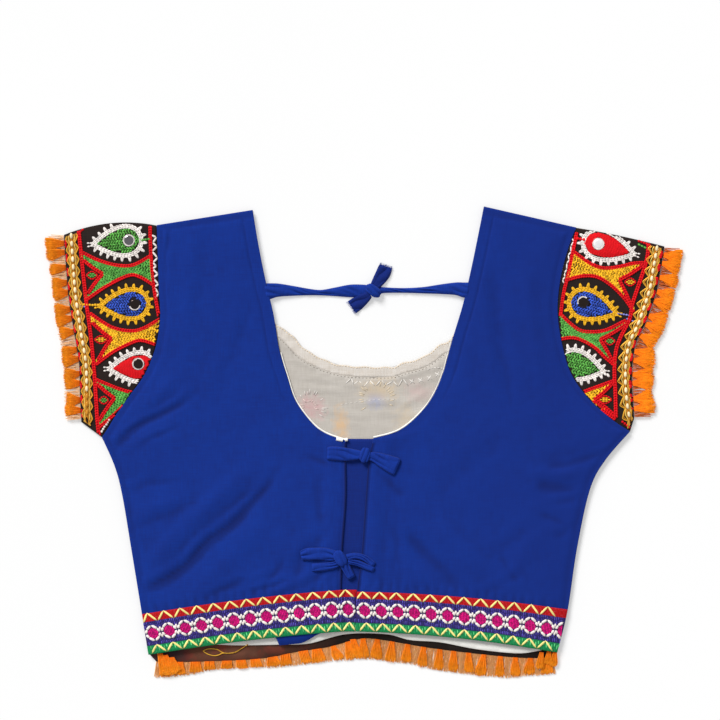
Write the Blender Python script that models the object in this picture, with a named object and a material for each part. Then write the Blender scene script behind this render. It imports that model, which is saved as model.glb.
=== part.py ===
"""Cropped blouse with an open back, mirror-work sleeves and fringes, laid flat with its back up.

The frame is in metres with +Z up. +X runs to the right across the back, +Y from the hem to the
neck, and Z = 0 is the surface that the blouse lies on. All sizes below are in millimetres and are
turned to metres when a mesh is made. The layers lie on each other, a seam gap apart: the front at
the bottom, then its lining, then the two back panels with the ribbon, the ties and the mirrors.
"""
import math
from collections import namedtuple

import bmesh
import bpy
from mathutils import Vector

MM = 0.001

# Cloth walls and the gap that neighbouring pieces keep.
GAP = 0.3
WALL = 1.2
THIN_WALL = 1.0
TRIM_WALL = 1.0

# Heights of the layers' undersides.
FRONT_BASE = 0.0
LINING_BASE = FRONT_BASE + WALL + GAP
BACK_BASE = LINING_BASE + THIN_WALL + GAP
EDGE_DROP = BACK_BASE - LINING_BASE
PLACKET_RISE = THIN_WALL + GAP

# How far the back stands off the lining between its edges.
BACK_LOFT = 0.8
EDGE_REACH = 9.0
LINING_INSET = 10.8
BODY_COLUMNS = (0, 0.015, 0.045, 0.1, 0.18, 0.28, 0.38, 0.49, 0.6, 0.71, 0.82, 0.92, 1)

# Back panels, one row for each section from the shoulder to the hem. The outer edge is the
# armhole and then the side seam, the inner edge is the neck and then the back opening.
# The bow lifts the middle of a section, and rows counts the mesh rows to the next section.
Section = namedtuple("Section", "outer_x outer_y inner_x inner_y bow rows")

LEFT_YOKE = (
    Section(-177, 187, -95, 200, 0, 4),
    Section(-176, 161, -90, 170, 0, 3),
    Section(-175, 130, -84, 140, 0, 2),
    Section(-174, 108, -77, 110, 0, 3),
    Section(-178, 82, -72, 80, 0, 2),
    Section(-188, 58, -65, 56, 0, 2),
    Section(-200, 41, -58, 36, 0, 2),
    Section(-212, 24, -44, 17, 0, 2),
    Section(-218, 14, -32, 8, 0, 1),
    Section(-224, 5, -15, 2, 0, 0),
)
LEFT_BODY = (
    Section(-224, 5, -15, 2, 0, 2),
    Section(-214, -20, -15, -21, 0, 2),
    Section(-208, -45, -15, -49, 0, 4),
    Section(-200, -92, -18, -91, 0, 4),
    Section(-191, -147, -19, -126, 2, 3),
    Section(-185, -180, -20, -163, 1, 1),
    Section(-184.6, -181.5, -20, -164.5, 1, 0),
)
RIGHT_YOKE = (
    Section(183, 185, 104, 203, 0, 3),
    Section(177, 170, 99, 178, 0, 3),
    Section(170, 144, 93, 149, 0, 3),
    Section(167, 116, 86, 119, 0, 3),
    Section(170, 89, 77, 89, 0, 3),
    Section(178, 61, 69, 60, 0, 2),
    Section(192, 40, 59, 38, 0, 2),
    Section(209, 24, 46, 22, 0, 1),
    Section(218, 17, 30, 10, 0, 1),
    Section(229, 10, 9, 4, 0, 0),
)
RIGHT_BODY = (
    Section(229, 10, 9, 4, 0, 2),
    Section(209, -15, 5, -16, 0, 2),
    Section(196, -40, 3, -40, 0, 4),
    Section(185, -90, -1, -94, 0, 4),
    Section(178, -143, -5, -128, 2, 3),
    Section(165, -178, -6, -163, 3, 1),
    Section(164.8, -179.5, -6, -164.5, 3, 0),
)
BORDER_SECTION = 4

# Folds of the back, each a soft trough or ridge along a line, with the photo's own lengths.
Fold = namedtuple("Fold", "x1 y1 x2 y2 width height")

BACK_FOLDS = (
    Fold(-213, 3, -158, 41, 7, -0.8),
    Fold(-208, 16, -160, 56, 8, 0.6),
    Fold(-180, -130, -78, -32, 10, -0.8),
    Fold(-190, -108, -104, -26, 9, 1.2),
    Fold(-150, -136, -84, -66, 9, 0.7),
    Fold(-212, -36, -166, -28, 6, -0.5),
    Fold(-205, -62, -150, -44, 7, 0.6),
    Fold(-72, -128, -40, -116, 8, 0.6),
    Fold(83, -122, 40, -79, 8, -0.8),
    Fold(104, -112, 62, -70, 9, 0.9),
    Fold(109, 144, 122, 46, 9, -0.7),
    Fold(134, 150, 146, 52, 9, 0.6),
    Fold(205, -8, 160, -16, 6, -0.7),
    Fold(192, -44, 150, -36, 7, -0.7),
    Fold(196, -26, 140, -26, 6, 0.6),
    Fold(150, -70, 120, -132, 9, 0.5),
    Fold(-168, 178, -160, 150, 5, -0.4),
)

# A strip of blue cloth at the hem hangs below the ribbon here: centre, half width and depth.
HEM_DIP_CENTRE = -54.0
HEM_DIP_HALF = 22.0
HEM_DIP_DEPTH = 6.0

# Strip under the back opening, one row for each level.
PlacketRow = namedtuple("PlacketRow", "y left right")

PLACKET_ROWS = (
    PlacketRow(3.5, -23, 15),
    PlacketRow(-49, -23, 10),
    PlacketRow(-91, -26, 6),
    PlacketRow(-128, -27, 3),
    PlacketRow(-166, -28, 2),
)
PLACKET_BASE = BACK_BASE
PLACKET_REACH = 12.0

# Front: its neckline from the left shoulder to the right one, and its hem.
Corner = namedtuple("Corner", "x y")

FRONT_NECK = (
    Corner(-95, 200),
    Corner(-97, 175),
    Corner(-93, 148),
    Corner(-86, 122),
    Corner(-74, 99),
    Corner(-59, 87),
    Corner(-45, 77),
    Corner(-26, 68),
    Corner(-6, 65),
    Corner(27, 65),
    Corner(41, 70),
    Corner(57, 77),
    Corner(72, 87),
    Corner(87, 105),
    Corner(94, 128),
    Corner(100, 152),
    Corner(104, 178),
    Corner(104, 203),
)
FRONT_HEM = (
    Corner(-181, -188),
    Corner(-142, -188),
    Corner(-89, -185),
    Corner(-56, -179),
    Corner(-30, -175),
    Corner(-3, -168),
    Corner(17, -169),
    Corner(59, -176),
    Corner(109, -182),
    Corner(142, -184.5),
    Corner(164, -183.5),
)
LINING_HEM = (
    Corner(-170, -178),
    Corner(-140, -177),
    Corner(-106, -174.5),
    Corner(-71, -173),
    Corner(-46, -172),
    Corner(-15, -164),
    Corner(20, -164),
    Corner(40, -169),
    Corner(66, -171),
    Corner(98, -177),
    Corner(133, -180.5),
    Corner(152, -178),
)
HEM_POINTS = 40
NECK_POINTS = 48
NECK_EDGING_WIDTH = 8.0
NECK_EDGING_WAVE = 0.7
NECK_WAVE_PITCH = 17.0
NECK_EDGING_TOP = 188.0

# White piping along the lower back neck.
PIPING_WIDTH = 1.2
PIPING_TOP_LEFT = 78.0
PIPING_TOP_RIGHT = 92.0

# Sleeves, flat tubes: the cuff edge from the shoulder fold to the underarm seam.
LEFT_CUFF = (
    Corner(-257, 179),
    Corner(-255, 151),
    Corner(-253, 127),
    Corner(-249, 100),
    Corner(-244, 70),
    Corner(-243, 43),
    Corner(-242, 18),
)
RIGHT_CUFF = (
    Corner(259, 169),
    Corner(255, 146),
    Corner(252, 130),
    Corner(243, 104),
    Corner(234, 84),
    Corner(231, 58),
    Corner(233, 21),
)
SLEEVE_TOP = LINING_BASE + WALL
SLEEVE_LOFT = 1.1
CUFF_LOFT = 0.4
LEFT_TOP_BOW = 6.0
RIGHT_TOP_BOW = 1.0
ARMHOLE_GAP = 0.5
SLEEVE_ROWS = 12
SLEEVE_STEPS = 25
SLEEVE_RING = (0, 0.004, 0.015, 0.04) + tuple(0.04 + 0.92 * k / SLEEVE_STEPS for k in range(1, SLEEVE_STEPS + 1))
SLEEVE_RING += (0.985, 0.996, 1)
INNER_ROWS = 1

# Padded drops on the sleeves, with a mirror at the round end. Tip, round end, mirror centre.
Drop = namedtuple("Drop", "tip_x tip_y end_x end_y mirror_x mirror_y")

LEFT_DROPS = (
    Drop(-229, 171, -192, 175, -201, 174),
    Drop(-223, 118, -186, 120, -196, 119),
    Drop(-215, 64, -180, 66, -193, 68),
)
RIGHT_DROPS = (
    Drop(230, 163, 191, 174, 202, 171),
    Drop(215, 112, 179, 123, 189, 121),
    Drop(204, 62, 170, 70, None, None),
)
DROP_HALF_WIDTH = 11.0
DROP_RISE = 0.9
MIRROR_RADIUS = 4.3
MIRROR_WALL = 1.0
MIRROR_SIDES = 16

BRAID_WIDTH = 9.5
BRAID_SCALLOPS = 13
BRAID_WAVE = 0.6

# Fringes: locks of strands that hang from a narrow backing strip.
FRINGE_GAP = 0.5
Fringe = namedtuple("Fringe", "locks strands reach spread backing root tip base tip_base wall")

CUFF_FRINGE_UPPER = Fringe(14, 2, 15.5, 5.0, 1.2, 2.4, 3.0, 1.9, 1.3, 1.0)
CUFF_FRINGE_LOWER = Fringe(14, 1, 14.5, 0.0, 1.2, 3.4, 5.0, 0.3, 0.3, 0.9)
HEM_FRINGE = Fringe(13, 2, 11.5, 3.0, 1.2, 2.6, 3.4, 0.3, 0.4, 1.0)
HEM_HALF_STEPS = 120

# Ties: stations along each strip, its width there and the height of its underside.
Station = namedtuple("Station", "x y width base")

NECK_TIE_LEFT = (
    Station(-81.2, 130.4, 13, 2.6),
    Station(-73, 132, 9, 2.0),
    Station(-60, 131, 5.5, 0.9),
    Station(-37, 129, 3.0, 0.4),
    Station(-20, 130, 6.0, 0.4),
    Station(-4, 131, 9.0, 0.5),
    Station(1.4, 131, 8.0, 1.0),
)
NECK_TIE_RIGHT = (
    Station(14.8, 131, 5.0, 1.0),
    Station(25, 131, 3.2, 0.4),
    Station(48, 131, 3.6, 0.5),
    Station(68, 132.5, 6.5, 1.4),
    Station(80, 133, 9.0, 2.2),
    Station(88.0, 131.2, 12.5, 2.6),
)
NECK_TAIL_UP = (
    Station(11.3, 136.1, 5.0, 2.0),
    Station(15, 141.5, 9.0, 0.8),
    Station(20.6, 149, 11.0, 0.4),
)
NECK_TAIL_DOWN = (
    Station(4.9, 125.7, 4.6, 2.0),
    Station(0.5, 120.2, 8.0, 0.8),
    Station(-8.5, 114.8, 10.5, 0.4),
)
UPPER_TIE_LEFT = (
    Station(-29, -8, 9.5, None),
    Station(-20, -9, 11, None),
    Station(-11, -10, 9, None),
    Station(-4.2, -10, 6, None),
)
UPPER_TIE_RIGHT = (
    Station(8.2, -11, 6, None),
    Station(15, -13, 10, None),
    Station(22, -17, 12.5, None),
    Station(28, -20.5, 13.5, None),
)
LOWER_TIE_LEFT_UPPER = (
    Station(-52, -95.5, 6, None),
    Station(-44, -94.5, 7.5, None),
    Station(-34, -95, 7.5, None),
    Station(-26.6, -96, 5, None),
)
LOWER_TIE_LEFT_LOWER = (
    Station(-45, -105, 5, None),
    Station(-36, -105, 6, None),
    Station(-28, -103.8, 5, None),
    Station(-24.8, -102, 4, None),
)
LOWER_TIE_RIGHT = (
    Station(-13.4, -98, 5, None),
    Station(-6, -98.5, 8, None),
    Station(2, -101.5, 10, None),
    Station(9, -105.5, 9, None),
)
LOWER_TIE_TAIL = (
    Station(-17.2, -104.8, 4, None),
    Station(-14.5, -109.5, 5.5, None),
    Station(-10.5, -114, 6, None),
)
TIE_WALL = 1.4

Knot = namedtuple("Knot", "x y half_x half_y half_z base")

NECK_KNOT = Knot(8, 131, 6.2, 5.4, 3.0, 0.4)
UPPER_KNOT = Knot(2, -10.5, 5.8, 5.4, 2.4, None)
LOWER_KNOT = Knot(-20, -98.5, 6.2, 5.6, 2.4, None)

Finish = namedtuple("Finish", "red green blue roughness metallic")

FINISHES = {
    "blue_cloth": Finish(0.012, 0.035, 0.25, 0.8, 0.0),
    "dark_cloth": Finish(0.022, 0.013, 0.010, 0.85, 0.0),
    "lining": Finish(0.52, 0.48, 0.44, 0.85, 0.0),
    "piping": Finish(0.75, 0.74, 0.70, 0.8, 0.0),
    "ribbon": Finish(0.40, 0.02, 0.18, 0.7, 0.0),
    "sleeve_work": Finish(0.05, 0.03, 0.03, 0.85, 0.0),
    "gold_braid": Finish(0.75, 0.45, 0.10, 0.45, 0.3),
    "mirror": Finish(0.8, 0.8, 0.8, 0.08, 1.0),
    "floss": Finish(0.85, 0.14, 0.004, 0.75, 0.0),
}


def clear_scene():
    """Removes whatever the file opened with."""
    for thing in list(bpy.context.scene.objects):
        bpy.data.objects.remove(thing, do_unlink=True)


def make_materials():
    """One plain material for each finish."""
    made = {}
    for name, finish in FINISHES.items():
        material = bpy.data.materials.new(name)
        material.use_nodes = True
        shader = material.node_tree.nodes["Principled BSDF"]
        shader.inputs["Base Color"].default_value = (finish.red, finish.green, finish.blue, 1.0)
        shader.inputs["Roughness"].default_value = finish.roughness
        shader.inputs["Metallic"].default_value = finish.metallic
        made[name] = material
    return made


def smooth(x):
    """A soft step from 0 to 1."""
    x = min(max(x, 0.0), 1.0)
    return x * x * (3 - 2 * x)


def spline(points, fraction):
    """A point on the smooth curve through evenly numbered points, each a tuple of numbers."""
    last = len(points) - 1
    place = min(max(fraction, 0.0), 1.0) * last
    k = min(int(place), last - 1)
    t = place - k
    a = points[max(k - 1, 0)]
    b = points[k]
    c = points[k + 1]
    d = points[min(k + 2, last)]
    result = []
    for p, q, r, s in zip(a, b, c, d):
        bend = (2 * p - 5 * q + 4 * r - s) * t * t + (3 * q - p - 3 * r + s) * t ** 3
        result.append(q + 0.5 * ((r - p) * t + bend))
    return result


def even_path(points, count):
    """Points evenly spaced along the smooth curve through the given ones."""
    fine = [Vector(spline(points, k / 400)) for k in range(401)]
    lengths = [0.0]
    for a, b in zip(fine, fine[1:]):
        lengths.append(lengths[-1] + (b - a).length)
    path = []
    k = 0
    for step in range(count):
        target = lengths[-1] * step / (count - 1)
        while k < 399 and lengths[k + 1] < target:
            k += 1
        share = (target - lengths[k]) / max(lengths[k + 1] - lengths[k], 1e-9)
        path.append(fine[k].lerp(fine[k + 1], min(share, 1.0)))
    return path


def normals(path):
    """The unit normal at each point of a flat path, to the left of its direction."""
    result = []
    for k in range(len(path)):
        ahead = path[min(k + 1, len(path) - 1)] - path[max(k - 1, 0)]
        result.append(Vector((-ahead.y, ahead.x)).normalized())
    return result


def build(name, verts, faces, material, round_shape=False):
    """Makes the named object from corner points in millimetres."""
    mesh = bpy.data.meshes.new(name)
    mesh.from_pydata([Vector(v) * MM for v in verts], [], faces)
    work = bmesh.new()
    work.from_mesh(mesh)
    bmesh.ops.recalc_face_normals(work, faces=work.faces)
    work.to_mesh(mesh)
    work.free()
    if round_shape:
        mesh.shade_smooth()
        mesh.set_sharp_from_angle(angle=math.radians(50))
    mesh.materials.append(material)
    thing = bpy.data.objects.new(name, mesh)
    bpy.context.collection.objects.link(thing)
    return thing


def build_slab(name, top, bottom, material):
    """A closed wall between two grids of points that have the same rows and columns."""
    rows = len(top)
    columns = len(top[0])
    verts = [p for row in top for p in row] + [p for row in bottom for p in row]
    lower = rows * columns
    faces = []
    for r in range(rows - 1):
        for c in range(columns - 1):
            a = r * columns + c
            quad = (a, a + 1, a + columns + 1, a + columns)
            faces.append(quad)
            faces.append(tuple(lower + k for k in reversed(quad)))
    rim = list(range(columns))
    rim += [r * columns + columns - 1 for r in range(1, rows)]
    rim += [(rows - 1) * columns + c for c in range(columns - 2, -1, -1)]
    rim += [r * columns for r in range(rows - 2, 0, -1)]
    for a, b in zip(rim, rim[1:] + rim[:1]):
        faces.append((a, b, b + lower, a + lower))
    return build(name, verts, faces, material)


def build_plate(name, outline, base, wall, material):
    """A flat wall with the given outline."""
    count = len(outline)
    verts = [(x, y, base + wall) for x, y in outline] + [(x, y, base) for x, y in outline]
    faces = [tuple(range(count)), tuple(range(2 * count - 1, count - 1, -1))]
    for a in range(count):
        b = (a + 1) % count
        faces.append((a, b, b + count, a + count))
    return build(name, verts, faces, material)


def fold_height(x, y):
    """The summed height of the back's folds at a place."""
    total = 0.0
    for fold in BACK_FOLDS:
        run = Vector((fold.x2 - fold.x1, fold.y2 - fold.y1))
        away = Vector((x - fold.x1, y - fold.y1))
        along = away.dot(run) / run.length_squared
        off = abs(away.cross(run)) / run.length
        ends = smooth((along + 0.15) / 0.35) * smooth((1.15 - along) / 0.35)
        total += fold.height * ends * math.exp(-((off / fold.width) ** 2))
    return total


def placket_lift(x, y):
    """How far the back rises here to pass over the strip under its opening."""
    rows = PLACKET_ROWS
    share = (rows[0].y - y) / (rows[0].y - rows[-1].y)
    left, right = spline([(row.left, row.right) for row in rows], share)
    aside = max(left - x, x - right, y - rows[0].y, 0.0)
    return PLACKET_RISE * (1 - smooth((aside - 2.5) / PLACKET_REACH))


def section_grid(sections):
    """Rows of places across a panel, from its outer edge to its inner one."""
    grid = []
    marks = []
    for k, section in enumerate(sections):
        marks.append(len(grid))
        for step in range(max(section.rows, 1)):
            share = (k + step / max(section.rows, 1)) / (len(sections) - 1)
            ox, oy, ix, iy, bow, _ = spline(sections, share)
            row = []
            for u in BODY_COLUMNS:
                rise = 4 * u * (1 - u) * bow
                row.append(Vector((ox + (ix - ox) * u, oy + (iy - oy) * u + rise)))
            grid.append(row)
    return grid, marks


def panel_places(yoke, body):
    """All rows of a back panel, and where its ribbon starts and ends among them."""
    upper, _ = section_grid(yoke)
    lower, marks = section_grid(body)
    first = len(upper) - 1 + marks[BORDER_SECTION]
    last = len(upper) - 1 + marks[BORDER_SECTION + 1]
    return upper[:-1] + lower, first, last


def panel_undersides(places):
    """The height of a back panel's underside at each of its places."""
    heights = []
    for row in places:
        line = []
        for c, place in enumerate(row):
            shoulder = (places[0][c] - place).length
            from_edge = min((place - row[0]).length, shoulder)
            from_neck = (place - row[-1]).length
            drop = EDGE_DROP * (1 - smooth(from_edge / EDGE_REACH))
            inside = smooth(from_edge / 28) * smooth((from_neck + 4) / 24)
            loft = BACK_LOFT + fold_height(*place)
            line.append(BACK_BASE - drop + placket_lift(*place) + max(inside * loft, 0.0))
        heights.append(line)
    return heights


def hem_dip(x):
    """How far the cloth hangs below the ribbon here."""
    return HEM_DIP_DEPTH * smooth(1.3 - abs(x - HEM_DIP_CENTRE) / HEM_DIP_HALF)


def layer(places, heights, lift):
    """A grid of points over the given places."""
    grid = []
    for row, line in zip(places, heights):
        grid.append([Vector((p.x, p.y, z + lift)) for p, z in zip(row, line)])
    return grid


def make_back(name, places, heights, dips, material):
    """One blue back panel."""
    places = [list(row) for row in places]
    if dips:
        places[-1] = [Vector((p.x, p.y - hem_dip(p.x))) for p in places[-1]]
    build_slab(name, layer(places, heights, WALL), layer(places, heights, 0.0), material)


def make_border(name, places, heights, first, last, reach_to, material):
    """The ribbon over a panel's hem. It steps down over the strip where reach_to is given."""
    base = layer(places[first:last + 1], heights[first:last + 1], WALL + GAP)
    if reach_to:
        strip_top = PLACKET_BASE + THIN_WALL + GAP
        for row, limit in zip(base, reach_to[first:last + 1]):
            edge = row[-1]
            row.append(edge + Vector((0.7, 0, 0)))
            row.append(Vector((edge.x + 2.6, edge.y, strip_top)))
            row.append(Vector((limit[-1].x - 0.45, edge.y, strip_top)))
    top = [[p + Vector((0, 0, TRIM_WALL)) for p in row] for row in base]
    build_slab(name, top, base, material)


def trimmed_neck(inset, wave=0.0, top=None, count=64):
    """The front's neckline, moved into the cloth, with an optional wave along it."""
    path = even_path(FRONT_NECK, count)
    ways = normals(path)
    result = []
    run = 0.0
    for k, point in enumerate(path):
        run += (point - path[k - 1]).length if k else 0.0
        shift = inset - wave * (1 + math.sin(2 * math.pi * run / NECK_WAVE_PITCH))
        if top is None or point.y <= top:
            result.append(point - ways[k] * shift)
    return result


def front_outline(left, right):
    """The front's outline, from the left shoulder's neck end round the hem and back."""
    outline = [tuple(left[0][-1]), tuple(left[0][0])]
    outline += [tuple(row[0]) for row in left[1:-1]]
    outline += [tuple(p) for p in even_path(FRONT_HEM, HEM_POINTS)]
    outline += [tuple(row[0]) for row in reversed(right[1:-1])]
    outline += [tuple(right[0][0]), tuple(right[0][-1])]
    outline += [tuple(p) for p in reversed(even_path(FRONT_NECK, NECK_POINTS)[1:-1])]
    return outline


def inset_edge(places, inset):
    """Places a little inside a panel's outer edge, below its shoulder seam."""
    result = []
    for row in places[:-1]:
        run = row[-1] - row[0]
        point = row[0] + run.normalized() * inset
        seam = places[0][0] + (places[0][-1] - places[0][0]) * (inset / run.length)
        if (seam - point).length >= inset:
            result.append(tuple(point))
    return result


def make_front_layers(left, right, materials):
    """The front, its lining and the edging between the lining and the neckline."""
    build_plate("front", front_outline(left, right), FRONT_BASE, WALL, materials["dark_cloth"])
    neck = trimmed_neck(NECK_EDGING_WIDTH + GAP, top=NECK_EDGING_TOP)
    hem = [tuple(p) for p in even_path(LINING_HEM, HEM_POINTS // 2)]
    lining = inset_edge(left, LINING_INSET) + hem + list(reversed(inset_edge(right, LINING_INSET)))
    lining += [tuple(p) for p in reversed(neck)]
    build_plate("front_lining", lining, LINING_BASE, THIN_WALL, materials["lining"])
    outer = trimmed_neck(0.0, NECK_EDGING_WAVE, NECK_EDGING_TOP)
    inner = trimmed_neck(NECK_EDGING_WIDTH, 0.0, NECK_EDGING_TOP)
    edging = [tuple(p) for p in outer] + [tuple(p) for p in reversed(inner)]
    build_plate("front_neck_edging", edging, LINING_BASE, THIN_WALL, materials["piping"])


def make_placket(material):
    """The strip under the back opening."""
    rows = [spline(PLACKET_ROWS, k / 8) for k in range(9)]
    outline = [(left, y) for y, left, _ in rows] + [(right, y) for y, _, right in reversed(rows)]
    build_plate("placket", outline, PLACKET_BASE, THIN_WALL, material)


def make_piping(name, places, heights, top, material):
    """A thin piping beside the lower neck edge of a back panel."""
    path = []
    for row, line in zip(places, heights):
        if row[-1].y > top:
            continue
        if path and row[-1].y >= path[-1][0].y - 0.2:
            break
        path.append((row[-1], line[-1]))
        if row[-1].y < 6:
            break
    inward = Vector((1, 0)) if path[0][0].x < 0 else Vector((-1, 0))
    flat = [p for p, _ in path]
    ways = [w if w.dot(inward) > 0 else -w for w in normals(flat)]
    top_rows = []
    bottom_rows = []
    for (point, height), way in zip(path, ways):
        near = point + way * GAP
        far = point + way * (GAP + PIPING_WIDTH)
        top_rows.append([Vector((*near, height + WALL)), Vector((*far, height + WALL))])
        bottom_rows.append([Vector((*near, height + 0.1)), Vector((*far, height + 0.1))])
    build_slab(name, top_rows, bottom_rows, material)


class Sleeve:
    """A flat tube between an armhole curve and a cuff curve."""

    def __init__(self, armhole, cuff, bow, drops):
        self.side = -1 if cuff[0].x < 0 else 1
        self.armhole = armhole
        self.cuff = cuff
        self.bow = bow
        self.drops = drops
        self.fine_armhole = even_path(armhole, 201)
        self.fine_cuff = even_path(cuff, 201)

    def place(self, s, t):
        """A place at s round from the shoulder fold and t out from the armhole."""
        k = min(int(s * 200), 199)
        near = self.fine_armhole[k].lerp(self.fine_armhole[k + 1], s * 200 - k)
        far = self.fine_cuff[k].lerp(self.fine_cuff[k + 1], s * 200 - k)
        near = near + Vector((self.side * ARMHOLE_GAP, 0))
        point = near.lerp(far, t)
        return point + Vector((0, self.bow * 4 * t * (1 - t) * (1 - s) ** 4))

    def width(self, s):
        """The sleeve's length from armhole to cuff at s."""
        return (self.place(s, 1) - self.place(s, 0)).length

    def plain_top(self, s, t):
        """The height of the upper layer, without the padded drops."""
        round_off = smooth(s / 0.06) * smooth((1 - s) / 0.06)
        loft = SLEEVE_LOFT * math.sin(math.pi * min(t * 1.08, 1.0)) + CUFF_LOFT * t
        return SLEEVE_TOP + loft * round_off

    def drop_rise(self, point):
        """How far the padded drops stand out at a place."""
        rise = 0.0
        for drop in self.drops:
            end = Vector((drop.end_x, drop.end_y))
            run = Vector((drop.tip_x, drop.tip_y)) - end
            away = point - end
            along = away.dot(run) / run.length_squared
            if 0 < along < 1:
                half = 2.6 * DROP_HALF_WIDTH * math.sqrt(along) * (1 - along)
                off = abs(away.cross(run)) / run.length
                rise = max(rise, DROP_RISE * smooth(1.6 * (1 - off / half)))
        return rise

    def top(self, s, t):
        """A point on the outer face of the upper layer."""
        place = self.place(s, t)
        return Vector((*place, self.plain_top(s, t) + self.drop_rise(place)))

    def rings(self, count, inset):
        """Rings of points along the tube, on its outer face or, with an inset, its inner one."""
        middle = (LINING_BASE + WALL) / 2
        rings = []
        for r in range(count + 1):
            t = r / count
            upper = []
            lower = []
            for s in SLEEVE_RING:
                place = self.place(inset + s * (1 - 2 * inset), t)
                edge = min(s, 1 - s)
                if edge == 0:
                    upper.append(Vector((*place, middle)))
                    continue
                if inset:
                    upper.append(Vector((*place, self.plain_top(s, t) - WALL)))
                    lower.append(Vector((*place, WALL)))
                    continue
                full = smooth(0.5 + edge / 0.03)
                high = self.plain_top(s, t) + self.drop_rise(place)
                upper.append(Vector((*place, middle + (high - middle) * full)))
                lower.append(Vector((*place, middle * (1 - full))))
            rings.append(upper + list(reversed(lower)))
        return rings


def make_sleeve(name, sleeve, material):
    """One sleeve, open at the armhole and at the cuff."""
    inset = WALL / 190
    outer = sleeve.rings(SLEEVE_ROWS, 0.0)
    inner = sleeve.rings(INNER_ROWS, inset)
    around = len(outer[0])
    verts = [p for ring in outer + inner for p in ring]
    faces = []
    for start, count in ((0, SLEEVE_ROWS), (len(outer) * around, INNER_ROWS)):
        for r in range(count):
            for k in range(around):
                a = start + r * around + k
                b = start + r * around + (k + 1) % around
                faces.append((a, b, b + around, a + around))
    inner_start = len(outer) * around
    for out_ring, in_ring in ((0, inner_start), (SLEEVE_ROWS * around, inner_start + INNER_ROWS * around)):
        for k in range(around):
            n = (k + 1) % around
            faces.append((out_ring + k, out_ring + n, in_ring + n, in_ring + k))
    build(name, verts, faces, material)


def make_mirrors(prefix, sleeve, material):
    """The round mirrors, each laid on the highest cloth under it."""
    number = 0
    for drop in sleeve.drops:
        if drop.mirror_x is None:
            continue
        number += 1
        centre = Vector((drop.mirror_x, drop.mirror_y))
        under = rest_height(sleeve_tops(sleeve), centre, MIRROR_RADIUS + 3) + GAP
        outline = []
        for k in range(MIRROR_SIDES):
            turn = 2 * math.pi * k / MIRROR_SIDES
            outline.append((centre.x + MIRROR_RADIUS * math.cos(turn), centre.y + MIRROR_RADIUS * math.sin(turn)))
        build_plate(f"{prefix}_{number}", outline, under, MIRROR_WALL, material)


def sleeve_tops(sleeve):
    """The points of a sleeve's upper face."""
    rings = sleeve.rings(SLEEVE_ROWS, 0.0)
    return [p for ring in rings for p in ring]


def rest_height(points, centre, reach):
    """The height of the highest point within reach of a place."""
    near = [p.z for p in points if (p.xy - centre).length <= reach]
    return max(near)


def make_braid(name, sleeve, material):
    """The gold braid along a cuff, with scalloped edges."""
    count = BRAID_SCALLOPS * 3
    base = []
    for k in range(count + 1):
        s = 0.02 + 0.96 * k / count
        wave = BRAID_WAVE * (1 - math.cos(2 * math.pi * k / 3))
        width = sleeve.width(s)
        row = []
        for inward in (0.4 + wave * 0.4, BRAID_WIDTH / 2, BRAID_WIDTH - wave):
            t = 1 - min(inward / width, 0.55 + 0.04 * inward)
            row.append(sleeve.top(s, t) + Vector((0, 0, GAP + 0.1)))
        base.append(row)
    top = [[p + Vector((0, 0, TRIM_WALL)) for p in row] for row in base]
    build_slab(name, top, base, material)


def make_fringe(name, path, outward, fringe, material):
    """A backing strip along a path, with strands drawn out of its outer side."""
    total = fringe.locks * fringe.strands
    curve = even_path([tuple(p) for p in path], 401)
    ways = normals(curve)
    ways = [w if w.dot(outward) > 0 else -w for w in ways]
    length = sum((b - a).length for a, b in zip(curve, curve[1:]))

    def at(run):
        place = min(max(run / length, 0.0), 1.0) * 400
        k = min(int(place), 399)
        return curve[k].lerp(curve[k + 1], place - k), ways[k]

    pitch = length / fringe.locks
    cuts = [0.0]
    strands = []
    for number in range(total):
        lock, which = divmod(number, fringe.strands)
        fan = which - (fringe.strands - 1) / 2
        centre = pitch * (lock + 0.5) + fan * (fringe.root + 0.5)
        cuts += [centre - fringe.root / 2, centre + fringe.root / 2]
        uneven = 0.5 * math.sin(2.3 * number) + 0.5 * math.sin(0.9 * number + 1)
        strands.append((centre, fan, uneven))
    cuts.append(length)
    verts = []
    for run in cuts:
        point, way = at(run)
        outer = FRINGE_GAP + fringe.backing
        for out, height in ((FRINGE_GAP, 0), (FRINGE_GAP, 1), (outer, 1), (outer, 0)):
            edge = point + way * out
            verts.append(Vector((edge.x, edge.y, fringe.base + height * fringe.wall)))
    faces = [(0, 1, 2, 3)]
    last = 4 * (len(cuts) - 1)
    faces.append((last + 3, last + 2, last + 1, last))
    for k in range(len(cuts) - 1):
        a = 4 * k
        b = a + 4
        faces += [(a, a + 1, b + 1, b), (a + 1, a + 2, b + 2, b + 1), (a + 3, a, b, b + 3)]
        if k % 2 == 0:
            faces.append((a + 2, a + 3, b + 3, b + 2))
            continue
        centre, fan, uneven = strands[k // 2]
        ring = [a + 3, a + 2, b + 2, b + 3]
        root, way = at(centre)
        side = Vector((way.y, -way.x))
        if side.dot(at(centre + 1)[0] - root) < 0:
            side = -side
        for share in (0.5, 1.0):
            reach = FRINGE_GAP + fringe.backing + (fringe.reach + uneven) * share
            middle = root + way * reach + side * (fan * fringe.spread * share + 0.5 * uneven * share)
            half = 0.5 * (fringe.root + (fringe.tip - fringe.root) * share)
            low = fringe.base + (fringe.tip_base - fringe.base) * share
            high = low + fringe.wall * (1.15 if share < 1 else 0.8)
            left = middle - side * half
            right = middle + side * half
            start = len(verts)
            verts += [Vector((*left, low)), Vector((*left, high)), Vector((*right, high)), Vector((*right, low))]
            new = [start, start + 1, start + 2, start + 3]
            for i in range(4):
                j = (i + 1) % 4
                faces.append((ring[i], ring[j], new[j], new[i]))
            ring = new
        faces.append(tuple(ring))
    build(name, verts, faces, material)


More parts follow.
